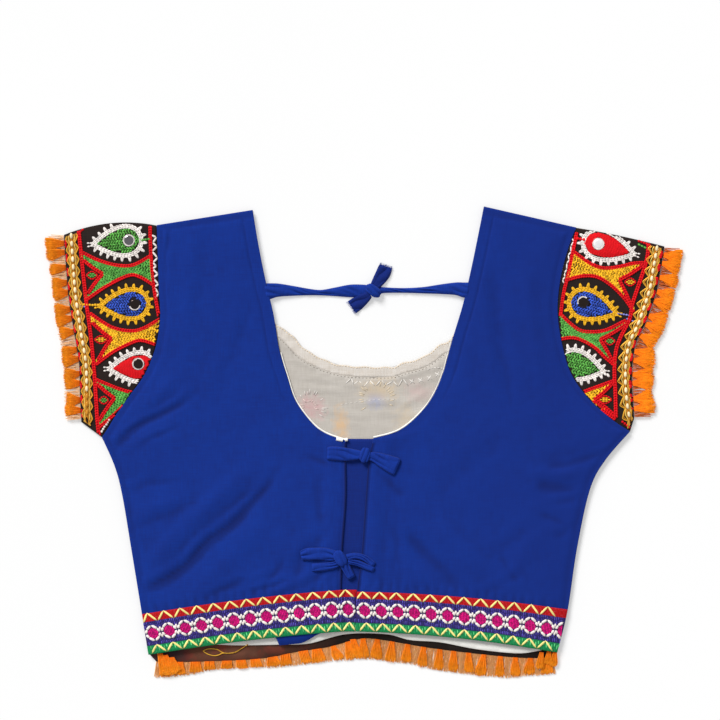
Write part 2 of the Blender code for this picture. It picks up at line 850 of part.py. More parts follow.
def make_strip(name, stations, cloth_tops, material):
    """A soft flat strip along its stations, with rounded long edges."""
    path = [Vector((s.x, s.y)) for s in stations]
    rings = []
    for k, (station, way) in enumerate(zip(stations, normals(path))):
        base = station.base
        if base is None:
            base = rest_height(cloth_tops, path[k], station.width / 2 + 9) + GAP
        half = station.width / 2
        ring = []
        for across, high in ((1, 0.3), (1, 0.7), (0.8, 1), (-0.8, 1), (-1, 0.7), (-1, 0.3), (-0.8, 0), (0.8, 0)):
            edge = path[k] + way * half * across
            ring.append(Vector((edge.x, edge.y, base + TIE_WALL * high)))
        rings.append(ring)
    around = len(rings[0])
    verts = [p for ring in rings for p in ring]
    last = (len(rings) - 1) * around
    faces = [tuple(range(around)), tuple(range(last + around - 1, last - 1, -1))]
    for r in range(len(rings) - 1):
        for k in range(around):
            a = r * around + k
            b = r * around + (k + 1) % around
            faces.append((a, b, b + around, a + around))
    build(name, verts, faces, material, round_shape=True)


def make_knot(name, knot, cloth_tops, material):
    """A rounded knot of rolled cloth with a flattened underside."""
    around = 10
    levels = 6
    base = knot.base
    if base is None:
        base = rest_height(cloth_tops, Vector((knot.x, knot.y)), knot.half_x + 8) + GAP
    verts = [Vector((knot.x, knot.y, base))]
    for r in range(1, levels):
        tilt = math.pi * r / levels
        for k in range(around):
            turn = 2 * math.pi * k / around
            spread = math.sin(tilt) ** 0.7
            x = knot.x + knot.half_x * spread * math.cos(turn)
            y = knot.y + knot.half_y * spread * math.sin(turn)
            verts.append(Vector((x, y, base + knot.half_z * (1 - math.cos(tilt)))))
    verts.append(Vector((knot.x, knot.y, base + 2 * knot.half_z)))
    top = len(verts) - 1
    faces = []
    for k in range(around):
        n = (k + 1) % around
        faces.append((0, 1 + n, 1 + k))
        faces.append((top, top - around + k, top - around + n))
        for r in range(levels - 2):
            a = 1 + r * around
            faces.append((a + k, a + n, a + around + n, a + around + k))
    build(name, verts, faces, material, round_shape=True)


def make_ties(cloth_tops, material):
    """The tied band across the neck and the two bows over the back opening."""
    strips = {
        "neck_tie_left": NECK_TIE_LEFT,
        "neck_tie_right": NECK_TIE_RIGHT,
        "neck_tail_up": NECK_TAIL_UP,
        "neck_tail_down": NECK_TAIL_DOWN,
        "upper_tie_left": UPPER_TIE_LEFT,
        "upper_tie_right": UPPER_TIE_RIGHT,
        "lower_tie_left_upper": LOWER_TIE_LEFT_UPPER,
        "lower_tie_left_lower": LOWER_TIE_LEFT_LOWER,
        "lower_tie_right": LOWER_TIE_RIGHT,
        "lower_tie_tail": LOWER_TIE_TAIL,
    }
    for name, stations in strips.items():
        make_strip(name, stations, cloth_tops, material)
    make_knot("neck_knot", NECK_KNOT, cloth_tops, material)
    make_knot("upper_tie_knot", UPPER_KNOT, cloth_tops, material)
    make_knot("lower_tie_knot", LOWER_KNOT, cloth_tops, material)


def make_sleeves(materials):
    """Both sleeves with their mirrors, braids and fringes."""
    sides = (
        ("left", LEFT_YOKE, LEFT_CUFF, LEFT_TOP_BOW, LEFT_DROPS),
        ("right", RIGHT_YOKE, RIGHT_CUFF, RIGHT_TOP_BOW, RIGHT_DROPS),
    )
    for side, yoke, cuff, bow, drops in sides:
        armhole = [Corner(section.outer_x, section.outer_y) for section in yoke]
        sleeve = Sleeve(armhole, cuff, bow, drops)
        make_sleeve(f"sleeve_{side}", sleeve, materials["sleeve_work"])
        make_mirrors(f"mirror_{side}", sleeve, materials["mirror"])
        make_braid(f"braid_{side}", sleeve, materials["gold_braid"])
        outward = Vector((sleeve.side, 0))
        edge = even_path(cuff, 60)[1:-1]
        make_fringe(f"fringe_{side}_upper", edge, outward, CUFF_FRINGE_UPPER, materials["floss"])
        make_fringe(f"fringe_{side}_lower", edge, outward, CUFF_FRINGE_LOWER, materials["floss"])


def main():
    """Builds the whole blouse."""
    clear_scene()
    materials = make_materials()
    left, left_first, left_last = panel_places(LEFT_YOKE, LEFT_BODY)
    right, right_first, right_last = panel_places(RIGHT_YOKE, RIGHT_BODY)
    left_heights = panel_undersides(left)
    right_heights = panel_undersides(right)
    make_front_layers(left, right, materials)
    make_placket(materials["blue_cloth"])
    make_back("back_left", left, left_heights, True, materials["blue_cloth"])
    make_back("back_right", right, right_heights, False, materials["blue_cloth"])
    make_piping("neck_piping_left", left, left_heights, PIPING_TOP_LEFT, materials["piping"])
    make_piping("neck_piping_right", right, right_heights, PIPING_TOP_RIGHT, materials["piping"])
    ribbon = materials["ribbon"]
    make_border("hem_border_left", left, left_heights, left_first, left_last, right, ribbon)
    make_border("hem_border_right", right, right_heights, right_first, right_last, None, ribbon)
    make_sleeves(materials)
    hem = even_path(FRONT_HEM, 2 * HEM_HALF_STEPS)
    down = Vector((0, -1))
    make_fringe("hem_fringe_left", hem[:HEM_HALF_STEPS], down, HEM_FRINGE, materials["floss"])
    make_fringe("hem_fringe_right", hem[HEM_HALF_STEPS:], down, HEM_FRINGE, materials["floss"])
    tops = layer(left, left_heights, WALL) + layer(right, right_heights, WALL)
    make_ties([p for row in tops for p in row], materials["blue_cloth"])


main()
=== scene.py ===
"""Fine form and finish of a cropped blouse with an open back, laid flat with its back up.

Sizes and places are in millimetres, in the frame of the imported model: +X runs to the right across
the back, +Y from the hem to the neck, and Z = 0 is the surface under the blouse. The layers keep
the order of the real one: the dark front lies lowest, then its lining, then the blue back panels
with the ribbon, the ties and the embroidered sleeves beside them.
"""
import math
import random
from collections import namedtuple

import bmesh
import bpy
import numpy as np
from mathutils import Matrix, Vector, geometry, noise
from mathutils.bvhtree import BVHTree


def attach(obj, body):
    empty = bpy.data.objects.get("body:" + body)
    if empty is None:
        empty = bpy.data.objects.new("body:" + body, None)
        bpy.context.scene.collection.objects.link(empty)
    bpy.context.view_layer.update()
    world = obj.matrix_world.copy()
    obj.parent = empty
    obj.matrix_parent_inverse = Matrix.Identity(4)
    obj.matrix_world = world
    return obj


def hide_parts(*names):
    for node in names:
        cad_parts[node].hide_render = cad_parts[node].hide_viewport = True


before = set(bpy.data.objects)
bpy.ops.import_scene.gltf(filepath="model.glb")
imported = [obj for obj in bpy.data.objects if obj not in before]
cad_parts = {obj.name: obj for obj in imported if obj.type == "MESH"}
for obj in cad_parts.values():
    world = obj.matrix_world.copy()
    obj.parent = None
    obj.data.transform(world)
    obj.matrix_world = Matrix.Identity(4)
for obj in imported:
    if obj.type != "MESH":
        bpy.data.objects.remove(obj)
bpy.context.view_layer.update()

MM = 0.001
UV_PER_MM = 0.01
ABOVE_ALL = 60.0

# Layers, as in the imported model: heights of the undersides, walls and gaps.
GAP = 0.3
SOLID_WALL = 1.2
THIN_SOLID_WALL = 1.0
LINING_BASE = 1.5
BACK_BASE = 2.8
EDGE_DROP = BACK_BASE - LINING_BASE
PLACKET_RISE = 1.3
BACK_LOFT = 0.8
EDGE_REACH = 9.0
LINING_INSET = 10.8

# Cloth as it looks, thinner than its solid and flush with the solid's outer face.
CLOTH = 0.8
THIN_CLOTH = 0.6
MESH_STEP = 2.2
EDGE_BULGE = 0.35

# Stitches: the lowest cloth that takes them, and their height as a share of their width.
LOWEST_CLOTH = 1.9
STITCH_HEIGHT = 0.62

# The photograph's frame on the floor: its middle and its width.
VIEW_MIDDLE = (-2.6, 71.4)
VIEW_WIDTH = 619.2
CAMERA_HEIGHT = 2400.0
SENSOR = 36.0

# The floor round it, in metres.
FLOOR_HALF = 12.0
FLOOR_GAP = 0.0002


def listed(kind, *rows):
    """A table's rows with their values named."""
    return tuple(kind(*row) for row in rows)


# Sections of a back panel from the shoulder to the hem: outer edge, inner edge and the middle's lift.
Section = namedtuple("Section", "outer_x outer_y inner_x inner_y bow", defaults=(0,))

LEFT_YOKE = listed(
    Section, (-177, 187, -95, 200), (-176, 161, -90, 170), (-175, 130, -84, 140), (-174, 108, -77, 110),
    (-178, 82, -72, 80), (-188, 58, -65, 56), (-200, 41, -58, 36), (-212, 24, -44, 17), (-218, 14, -32, 8),
    (-224, 5, -15, 2),
)
LEFT_BODY = listed(
    Section, (-224, 5, -15, 2), (-213, -20, -15, -21), (-206.5, -45, -15, -49), (-198.6, -92, -18, -91),
    (-189.6, -147, -19, -126, 2), (-184.4, -180, -20, -160.2, 2), (-184, -181.5, -20, -161.4, 2),
)
RIGHT_YOKE = listed(
    Section, (183, 185, 104, 203), (177, 170, 99, 178), (170, 144, 93, 149), (167, 116, 86, 119),
    (170, 89, 77, 89), (178, 61, 69, 60), (192, 40, 59, 38), (209, 24, 46, 22), (218, 17, 30, 10),
    (229, 10, 9, 4),
)
RIGHT_BODY = listed(
    Section, (229, 10, 9, 4), (207.5, -15, 5, -16), (194.6, -40, 3, -40), (183.6, -90, -1, -94),
    (175.6, -143, -5, -127.5, 3), (167, -178, -6, -160, 3.4), (166.6, -179.5, -6, -161.2, 3.4),
)
RIBBON_ROWS = (4, 5)
RIBBON_LIP = 5.9

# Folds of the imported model, and finer creases of the scene. Each is a soft trough or ridge.
Fold = namedtuple("Fold", "x1 y1 x2 y2 width height")

BACK_FOLDS = listed(
    Fold, (-213, 3, -158, 41, 7, -0.8), (-208, 16, -160, 56, 8, 0.6), (-180, -130, -78, -32, 10, -0.8),
    (-190, -108, -104, -26, 9, 1.2), (-150, -136, -84, -66, 9, 0.7), (-212, -36, -166, -28, 6, -0.5),
    (-205, -62, -150, -44, 7, 0.6), (-72, -128, -40, -116, 8, 0.6), (83, -122, 40, -79, 8, -0.8),
    (104, -112, 62, -70, 9, 0.9), (109, 144, 122, 46, 9, -0.7), (134, 150, 146, 52, 9, 0.6),
    (205, -8, 160, -16, 6, -0.7), (192, -44, 150, -36, 7, -0.7), (196, -26, 140, -26, 6, 0.6),
    (150, -70, 120, -132, 9, 0.5), (-168, 178, -160, 150, 5, -0.4),
)
FINE_CREASES = listed(
    Fold, (-122, -60, -70, -20, 3.0, -0.3), (-84, -122, -66, -98, 3.2, -0.6),
    (-60, -122, -46, -84, 3.0, -0.5), (-104, -120, -82, -106, 3.0, 0.4), (66, -126, 44, -106, 2.8, 0.5),
    (24, -116, 30, -60, 3.4, -0.4), (118, 80, 126, 30, 4.0, -0.25), (176, -70, 150, -60, 3.0, -0.5),
    (132, -120, 118, -96, 3.2, -0.5), (-150, 168, -128, 120, 3.6, 0.3), (-20, -20, -46, -12, 3.0, -0.5),
    (10, -22, 36, -46, 4.0, -0.7), (-26, -112, -44, -134, 2.6, -0.5), (2, -112, 14, -134, 2.6, -0.5),
    (-38, -30, -30, -84, 4.0, -0.4), (16, -24, 16, -92, 4.0, -0.4),
)

# Drag lines, where the cloth steps down from the left of the line's direction to its right.
DRAG_LINES = listed(
    Fold, (-216, -1, -150, 43, 4.6, 2.5), (-198, -8, -160, 16, 3.0, 0.9),
    (-188, -126, -138, -91, 5.6, 2.9), (-146, -96, -110, -62, 5.2, 3.0), (-116, -70, -80, -30, 4.4, 2.2),
    (-212, -41, -160, -27, 4.2, 0.9), (-206, -70, -150, -50, 6.0, 0.8), (-134, -130, -98, -112, 4.0, 1.3),
    (-100, -126, -62, -114, 3.6, 1.6), (-78, -130, -38, -108, 4.2, 1.7), (-64, -104, -30, -72, 6.0, 1.0),
    (-170.5, 142, -169, 186, 3.0, 1.9), (-150, 96, -138, 182, 9.0, 1.1), (-128, 40, -104, 120, 9.0, 0.9),
    (119, 42, 108, 150, 8.0, 1.3), (148, 46, 136, 156, 8.0, -1.0), (160, -18, 212, -8, 4.6, 1.1),
    (162, -48, 198, -42, 4.6, 0.9), (160, -78, 190, -64, 5.0, 0.7), (36, -74, 88, -126, 9.0, 1.1),
    (24, -60, 40, -130, 5.6, 0.8), (96, -130, 142, -104, 5.6, 0.8), (104, -96, 152, -58, 8.0, 0.7),
    (60, -36, 120, 6, 9.0, 0.8),
)

# Wrinkles of the lining where the neck shows it.
LINING_WRINKLES = listed(
    Fold, (-62, 72, -10, 58, 2.4, 0.9), (-58, 58, 10, 48, 2.2, 0.8), (-54, 48, -14, 44, 2.0, 0.8),
    (-6, 34, 40, 37, 1.8, 0.9), (-44, 30, 6, 22, 2.2, 0.6), (20, 54, 66, 66, 2.2, 0.8),
    (30, 30, 54, 44, 2.2, 0.7), (-20, 16, 30, 13, 2.0, 0.6), (44, 50, 70, 60, 2.0, 0.7),
    (-66, 84, -40, 70, 2.0, 0.8), (-38, 64, 20, 62, 1.6, -0.5), (6, 26, 48, 24, 1.8, 0.5),
    (-62, 64, -34, 58, 1.6, 0.6), (-30, 52, 14, 56, 1.4, -0.4), (-24, 8, 20, 6, 1.6, 0.5),
    (58, 60, 74, 74, 1.8, 0.7), (36, 20, 58, 30, 1.8, 0.6), (-48, 22, -20, 12, 1.8, 0.6),
)

# Where and how far the left panel's cloth hangs below its ribbon.
HEM_DIP_LEFT = -74.5
HEM_DIP_RIGHT = -34.0
HEM_DIP_DEPTH = 7.4

PlacketRow = namedtuple("PlacketRow", "y left right")

PLACKET_ROWS = listed(
    PlacketRow, (3.5, -23, 15), (-49, -23, 10), (-91, -26, 6), (-128, -27, 3), (-161, -28, 2),
)
PLACKET_REACH = 12.0

# The front's neckline and hem, and the hem of its lining.
FRONT_NECK = (
    (-95, 200), (-97, 175), (-93, 148), (-86, 122), (-76, 102), (-67, 97), (-60, 91), (-53.5, 83.6),
    (-45, 76.8), (-26, 68.4), (-6, 65.2), (24, 65), (32, 67.6), (41, 69.8), (50, 72.6), (57, 77), (66, 84),
    (75, 88.6), (87, 105), (94, 128), (100, 152), (104, 178), (104, 203),
)
FRONT_HEM = (
    (-177.5, -187.5), (-142, -187.6), (-89, -185), (-56, -179), (-30, -175), (-3, -168), (17, -169),
    (59, -176), (109, -182), (142, -184.5), (164, -183.5),
)
LINING_HEM = (
    (-170, -172), (-140, -172.6), (-124, -173), (-106, -173.6), (-71, -173), (-46, -172), (-15, -164),
    (20, -164), (40, -169), (66, -171), (98, -177), (133, -180.5), (152, -178),
)
EDGING_WIDTH = 8.0
EDGING_WAVE = 0.7
EDGING_PITCH = 17.0
EDGING_TOP = 188.0

# The blue cloth: how strong its folds are, its seams' distance from an edge and its gathers.
FOLD_SHARE = 0.85
DRAG_SHARE = 0.72
FOLD_DRIFT = 5
NECK_BAND = 9.5
OPENING_SEAM = 2.4
GATHER_PITCH = 8.3
GATHERS_UP = 38.5

# How dark the painted shade of a fold, or the painted shadow along the turned edge of the opening, gets at
# most.
DEEP_SHADE = 2.1

# Where the front's colours show through its lining: a patch's middle, half sizes, tone and strength.
Patch = namedtuple("Patch", "x y half_x half_y tone strength")

LINING_PATCHES = listed(
    Patch, (-46, 31, 18, 15, (204, 164, 164), 0.85), (-19, 15, 9, 20, (218, 184, 146), 0.9),
    (11, 37, 10, 9, (160, 168, 200), 0.85), (14, 46, 22, 13, (216, 192, 156), 0.6),
    (36, 22, 12, 16, (214, 194, 164), 0.5), (48, 44, 16, 12, (206, 178, 174), 0.55),
)

PIPING_TABS = (((-23.0, 3.6), (-17.4, 2.6)), ((-15.6, 2.8), (-13.2, 3.2)))
PIPING_RADIUS = 0.75
PIPING_TOPS = {"left": 78.0, "right": 92.0}
PIPING_POINTS = 90

# Sleeves, flat tubes from an armhole to a cuff edge, each listed from the shoulder fold down.
CUFFS = {
    "left": ((-257, 179), (-255, 151), (-253, 127), (-249, 100), (-244, 70), (-243, 43), (-242, 18)),
    "right": ((259, 169), (255, 146), (252, 130), (243, 104), (234, 84), (231, 58), (233, 21)),
}
TOP_BOWS = {"left": 6.0, "right": 1.0}
SLEEVE_TOP = 2.7
SLEEVE_LOFT = 1.1
CUFF_LOFT = 0.4
ARMHOLE_GAP = 0.5
DROP_HALF_WIDTH = 11.0
DROP_RISE = 0.9
SLEEVE_GIRTH = 190.0
OUTER_RINGS = 47
INNER_RINGS = 9

# Steps along an edge on which sleeves and fringes are set out.
EDGE_STEPS = 400

# Mirrors, the thread round each and the room that a drop's stitches leave for it.
MIRROR_RADIUS = 4.3
RING_RADIUS = 4.55
MIRROR_ROOM = 5.4

# Padded drops: tip, round end and mirror, the painted reflection of its glass, with the colours of the drop
# and of its border.
Drop = namedtuple("Drop", "tip_x tip_y end_x end_y mirror_x mirror_y glass colour border")

DROPS = {
    "left": (
        Drop(-229, 171, -192, 175, -201, 174, "grey", "green", "white"),
        Drop(-223, 118, -186, 120, -196, 119, "dark", "blue", "yellow"),
        Drop(-215, 64, -180, 66, -193, 68, "dark", "red", "white"),
    ),
    "right": (
        Drop(230, 163, 191, 174, 202, 171, "bright", "red", "white"),
        Drop(215, 112, 179, 123, 189, 121, "dark", "blue", "yellow"),
        Drop(204, 62, 170, 70, None, None, None, "green", "white"),
    ),
}

# Tail-shaped fields between the drops: two arcs from the cuff, the notch between them, the leaf in it.
Tail = namedtuple("Tail", "upper lower notch leaf colour")

TAILS = {
    "left": (
        Tail(((-243, 164.7), (-227, 157), (-210.7, 152.6), (-197, 153), (-182.3, 161)),
             ((-238.2, 122.5), (-220, 135), (-200.8, 144.1), (-191, 142.5), (-180.5, 136)),
             ((-239.9, 157), (-223.3, 145.4), (-236.2, 128.6)), (-237.6, -227.8, 144.1), "green"),
        Tail(((-234.6, 111.6), (-216.3, 99.8), (-200, 96.3), (-188.9, 98.4), (-174.5, 106.5)),
             ((-229.5, 67.5), (-214.7, 78.3), (-200, 85.7), (-190.3, 88.3), (-176.5, 84)),
             ((-232.5, 103.5), (-215.9, 89.7), (-227.4, 71.5)), (-230.6, -219.2, 88.8), "yellow"),
        Tail(((-229.4, 54.6), (-218.4, 50.1), (-207.3, 45.8), (-196.5, 43)),
             ((-226.9, 13.6), (-218.4, 20.6), (-211, 27.2), (-204.5, 33.5)),
             ((-228.6, 51.2), (-213.3, 38.7), (-226.8, 19)), (-226.6, -218.4, 36.8), "green"),
    ),
    "right": (
        Tail(((243.2, 154.8), (231.9, 154.3), (220.8, 151.6), (206.7, 150.2), (194.8, 154.5), (181.5, 164)),
             ((232.5, 112.5), (224.5, 124.2), (213.3, 135.3), (200.7, 142.8), (187.4, 143.4), (174, 139.8)),
             ((240.5, 152.8), (220, 140.2), (231.2, 116)), (224.6, 234.4, 138.3), "yellow"),
        Tail(((226, 105.5), (221.8, 103.4), (208.3, 97), (196.3, 95.5), (184.4, 97.8), (169.2, 111)),
             ((217, 66), (207.5, 74), (200.3, 81.1), (190, 87.5), (180.4, 90.6), (170.6, 89.6)),
             ((225.8, 102), (203.5, 89.1), (214.6, 69.6)), (207.4, 216.6, 87.5), "green"),
        Tail(((216.2, 53.9), (201.2, 48.4), (190.7, 44.5), (186, 42.5)),
             ((216.8, 20.5), (210, 25.5), (203, 31), (196.5, 36)),
             ((214.4, 51.6), (198.7, 37.3), (216.4, 23.4)), (202.2, 213.6, 37.3), "yellow"),
    ),
}
CUFF_LINES = {
    "left": ((-244.2, 182.3), (-242.1, 163.4), (-237.8, 123), (-233.5, 90.3), (-230.5, 57.6), (-227.9, 18.1),
             (-226.4, 4.5)),
    "right": ((245.3, 171), (242.9, 154.5), (231.9, 121.3), (229.2, 107.2), (221.8, 92.3), (217.8, 81.9),
              (216.2, 70.8), (215.9, 58), (216.6, 45.2), (217.1, 22)),
}
ARMHOLE_LINES = {
    "left": ((-182.9, 188.6), (-182.4, 168), (-181.3, 147.9), (-179, 130), (-175.4, 109)),
    "right": ((183.6, 181), (176.6, 146.5), (172.4, 129), (169.8, 110.5)),
}
ZIGZAG_STRIPS = {
    "left": ((-179.8, 187), (-179.2, 165), (-178.2, 145), (-176.6, 126)),
    "right": ((180.6, 176), (174.6, 150), (171.2, 136)),
}

# Single lines that join the fields: start, end, colour and width of the stitches.
EXTRA_STITCHES = {
    "left": (
        ((-191, 174), (-182.5, 175.5), "green", 2.4), ((-226, 118), (-243, 119.4), "yellow", 2.2),
        ((-238, 117), (-250, 118), "lilac", 1.6), ((-221, 15), (-217.5, 21), "white", 2.4),
        ((-217.5, 12), (-213.5, 18.5), "white", 2.4), ((-225, 9), (-221.5, 15), "white", 2.2),
        ((-239, 10), (-224, 5.5), "red", 2.6), ((-247, 178), (-240, 184), "red", 2.2),
    ),
    "right": (
        ((191, 174.5), (183, 176), "red", 3.0), ((218, 111.5), (230, 109.5), "lilac", 1.8),
        ((226, 107), (242, 101), "lilac", 1.6), ((204, 61), (212, 57), "white", 2.2),
        ((222, 19), (229.5, 13), "red", 2.6), ((236, 171), (246, 166), "green", 2.0),
        ((236, 174), (247, 170), "red", 2.4),
    ),
}

# The braid: how far its middle line lies in from the cuff's edge, and the length of one eye.
BRAID_MIDDLE = 6.3
BRAID_EYE = 6.4

# Ties: stations along each strip. Where no base is given, its underside follows the cloth below.
Station = namedtuple("Station", "x y width base", defaults=(None,))

TIES = {
    "neck_tie_left": listed(
        Station, (-84.6, 129.8, 14.8, 2.6), (-80, 130.6, 13.6, 2.6), (-73, 131.4, 11.5, 2.0),
        (-60, 130.8, 8.5, 0.9), (-46, 129.8, 5.6, 0.4), (-36, 129.3, 4.8, 0.4), (-24, 130, 7.5, 0.4),
        (-10, 130.8, 11.0, 0.5), (4, 131, 10.0, 1.0),
    ),
    "neck_tie_right": listed(
        Station, (11.5, 131.3, 7.0, 1.0), (20, 131.4, 4.8, 0.6), (36, 131.2, 4.2, 0.4),
        (52, 131.4, 5.6, 0.6), (68, 132.3, 8.6, 1.4), (80, 132.6, 11.0, 2.2), (86.6, 131.6, 13.0, 2.6),
        (91.4, 131.0, 14.0, 2.6),
    ),
    "neck_tail_up": listed(
        Station, (9.6, 134.4, 8.0, 2.4), (13.4, 139.6, 10.8, 1.4), (17.4, 146, 12.6, 0.6),
        (19.6, 152, 11.8, 0.4),
    ),
    "neck_tail_down": listed(
        Station, (5.6, 128, 7.0, 2.4), (1.0, 124.4, 10.0, 1.2), (-4.6, 120.2, 12.2, 0.5),
        (-9.6, 116.6, 12.6, 0.4),
    ),
    "upper_tie_left": listed(
        Station, (-31, -8.6, 11.0), (-24, -8.8, 12.4), (-14, -9.6, 11.4), (-5, -10, 8.6), (0, -10.4, 7.0),
    ),
    "upper_tie_right": listed(
        Station, (4.6, -11, 7.0), (10, -12, 9.0), (17, -15, 12.5), (25, -18.6, 15.0), (29.6, -20.6, 15.4),
    ),
    "lower_tie_left_upper": listed(
        Station, (-53.4, -96.6, 8.0), (-48, -95.4, 10.8), (-40, -94.8, 10.6), (-31, -95.4, 11.0),
        (-22.4, -96.8, 8.0),
    ),
    "lower_tie_left_lower": listed(
        Station, (-44, -106.4, 6.8), (-36, -106.2, 7.2), (-28, -105.4, 6.8), (-21.6, -103.4, 5.4),
    ),
    "lower_tie_right": listed(
        Station, (-14.6, -97.6, 5.0), (-6, -96.6, 5.4), (2, -99, 5.6), (9.6, -104.6, 5.2),
    ),
    "lower_tie_right_under": listed(
        Station, (-13.6, -101.4, 4.4), (-5, -102.6, 5.2), (3, -106, 5.2), (9.4, -108.6, 4.8),
    ),
    "lower_tie_tail": listed(
        Station, (-17.6, -101.6, 7.4), (-15, -106, 7.8), (-12.4, -110.6, 7.6), (-9.6, -115.6, 7.2),
    ),
}
FRAYED_TIES = ("neck_tail_up", "neck_tail_down")
TIE_WALL = 2.0
TIE_FULLNESS = 1.2
TIE_RINGS = 60
BRIDGE = 10.0

# Knots: half sizes along and across the wrap, and the way that the wrap runs.
Knot = namedtuple("Knot", "x y half_along half_across half_z base wrap")

KNOTS = {
    "neck_knot": Knot(8.8, 131.0, 7.6, 4.6, 3.0, 0.4, -0.62),
    "upper_tie_knot": Knot(1.6, -10.2, 6.8, 4.4, 1.9, None, 1.35),
    "lower_tie_knot": Knot(-19.6, -98.6, 7.4, 5.0, 1.9, None, -1.05),
}


def srgb(red, green, blue):
    """A linear colour from the usual values of 0 to 255."""
    shares = [value / 255 for value in (red, green, blue)]
    linear = [s / 12.92 if s <= 0.04045 else ((s + 0.055) / 1.055) ** 2.4 for s in shares]
    return (*linear, 1.0)


BLUE_CLOTH = srgb(8, 51, 147)
# Painted shade: the next two blues darken the right of the back, its folds and the turned edge of its
# opening; the first is also the yarn's darker tone.
BLUE_YARN_AND_PAINTED_SHADE = srgb(11, 40, 124)
BLUE_PAINTED_SHADE = srgb(12, 26, 88)
PLACKET_BLUE = srgb(10, 44, 132)
PLACKET_SHADE = srgb(12, 34, 110)
DARK_CLOTH = srgb(42, 32, 27)
DARK_BROWN = srgb(116, 72, 54)
RUST = srgb(140, 56, 44)
NAVY_PAINTED_SHEEN = srgb(26, 28, 44)
LINING_TONE = srgb(204, 198, 190)
LINING_SHADE = srgb(184, 177, 168)
EDGING_TONE = srgb(234, 228, 221)
EDGING_SHADE = srgb(214, 203, 190)
WHITE_TONE = srgb(250, 248, 242)
ORANGE = srgb(255, 152, 8)
ORANGE_ROOT = srgb(255, 112, 2)
THREAD_TONES = {
    "red": (222, 8, 22), "green": (92, 168, 72), "yellow": (240, 182, 34), "blue": (52, 84, 186),
    "white": (240, 232, 226), "black": (34, 26, 22), "lilac": (128, 132, 205), "magenta": (224, 14, 128),
    "pale_gold": (252, 234, 146), "gold": (204, 138, 42), "bright_gold": (255, 218, 112),
    "bright_green": (96, 206, 128), "loop_gold": (246, 188, 62), "dusk": (40, 34, 40),
    "cream": (255, 236, 190), "indigo": (76, 66, 156),
}
THREADS = {name: srgb(*tone) for name, tone in THREAD_TONES.items()}


def smooth(x):
    """A soft step from 0 to 1."""
    x = np.clip(x, 0.0, 1.0)
    return x * x * (3 - 2 * x)


def spline(rows, places):
    """Points on the smooth curve through a table's rows, at places counted in rows."""
    rows = np.array(rows, float)
    last = len(rows) - 1
    place = np.clip(np.atleast_1d(places), 0, last)
    k = np.minimum(place.astype(int), last - 1)
    t = (place - k)[:, None]
    a, b, c, d = (rows[np.clip(k + step, 0, last)] for step in (-1, 0, 1, 2))
    bend = (2 * a - 5 * b + 4 * c - d) * t ** 2 + (3 * b - a - 3 * c + d) * t ** 3
    return b + 0.5 * ((c - a) * t + bend)


def lengths(steps):
    """The length of each step."""
    return np.linalg.norm(steps, axis=-1)


def run_along(path):
    """The distance from a path's start at each of its points."""
    return np.concatenate([[0], np.cumsum(lengths(np.diff(path, axis=0)))])


def even_path(points, count):
    """Points evenly spaced along the smooth curve through the given ones."""
    fine = spline(points, np.linspace(0, len(points) - 1, 801))
    run = run_along(fine[:, :2])
    at = np.linspace(0, run[-1], count)
    return np.stack([np.interp(at, run, fine[:, axis]) for axis in range(fine.shape[1])], axis=1)


def path_length(path):
    """The length of a path of points."""
    return float(lengths(np.diff(path, axis=0)).sum())


def sideways(path):
    """The unit normal at each point of a flat path, to the left of its direction."""
    ahead = np.gradient(path[:, :2], axis=0)
    side = np.stack([-ahead[:, 1], ahead[:, 0]], axis=1)
    return side / np.maximum(lengths(side), 1e-9)[:, None]


def left_of(way):
    """A flat way turned a quarter to the left."""
    return np.array([-way[1], way[0]])


def level_path(start, way, reach, side, shares, level):
    """A path at one level that leaves its start one way and drifts to a side."""
    return [(*(start + way * reach * share + side * share), level) for share in shares]


def bell(off):
    """A soft hump that is 1 in its middle."""
    return np.exp(-(off ** 2))


def fold_lines(folds, places, reach, fade):
    """For each fold, its height where its ends fade out, and how many widths to its left each place lies."""
    for fold in folds:
        run = np.array([fold.x2 - fold.x1, fold.y2 - fold.y1], float)
        away = places - np.array([fold.x1, fold.y1])
        along = away @ run / (run @ run)
        off = (run[0] * away[..., 1] - run[1] * away[..., 0]) / math.sqrt(run @ run) / fold.width
        ends = smooth((along + reach) / fade) * smooth((1 + reach - along) / fade)
        yield fold.height * ends, off


def relief(folds, places):
    """The summed height of soft troughs and ridges at each place."""
    return sum(height * bell(off) for height, off in fold_lines(folds, places, 0.15, 0.35))


def drag_relief(lines, places):
    """The summed height of drag lines at each place."""
    return sum(height * off * bell(off) for height, off in fold_lines(lines, places, 0.2, 0.45))


def hollows(heights, reach):
    """How far each point of a grid of heights lies below its surroundings."""
    around = heights.copy()
    for _ in range(reach):
        padded = np.pad(around, 1, mode="edge")
        around = (padded[:-2, 1:-1] + padded[2:, 1:-1] + padded[1:-1, :-2] + padded[1:-1, 2:]) / 4
    return np.maximum(around - heights, 0.0)


def wandering(places, scale, seed):
    """Smooth noise from -1 to 1 over flat places, with features of the given size."""
    flat = places.reshape(-1, 2)
    values = [noise.noise(Vector((x / scale, y / scale, seed))) for x, y in flat]
    return np.array(values).reshape(places.shape[:-1])


def placket_lift(places):
    """How far the back rises to pass over the strip under its opening."""
    rows = np.array(PLACKET_ROWS, float)
    share = (rows[0, 0] - places[..., 1]) / (rows[0, 0] - rows[-1, 0]) * (len(rows) - 1)
    sides = spline(rows[:, 1:], share.ravel()).reshape(*share.shape, 2)
    beside = np.maximum(sides[..., 0] - places[..., 0], places[..., 0] - sides[..., 1])
    aside = np.maximum(np.maximum(beside, places[..., 1] - rows[0, 0]), 0.0)
    return PLACKET_RISE * (1 - smooth((aside - 2.5) / PLACKET_REACH))


def put(name, data):
    """A new object in the scene."""
    thing = bpy.data.objects.new(name, data)
    bpy.context.scene.collection.objects.link(thing)
    return thing


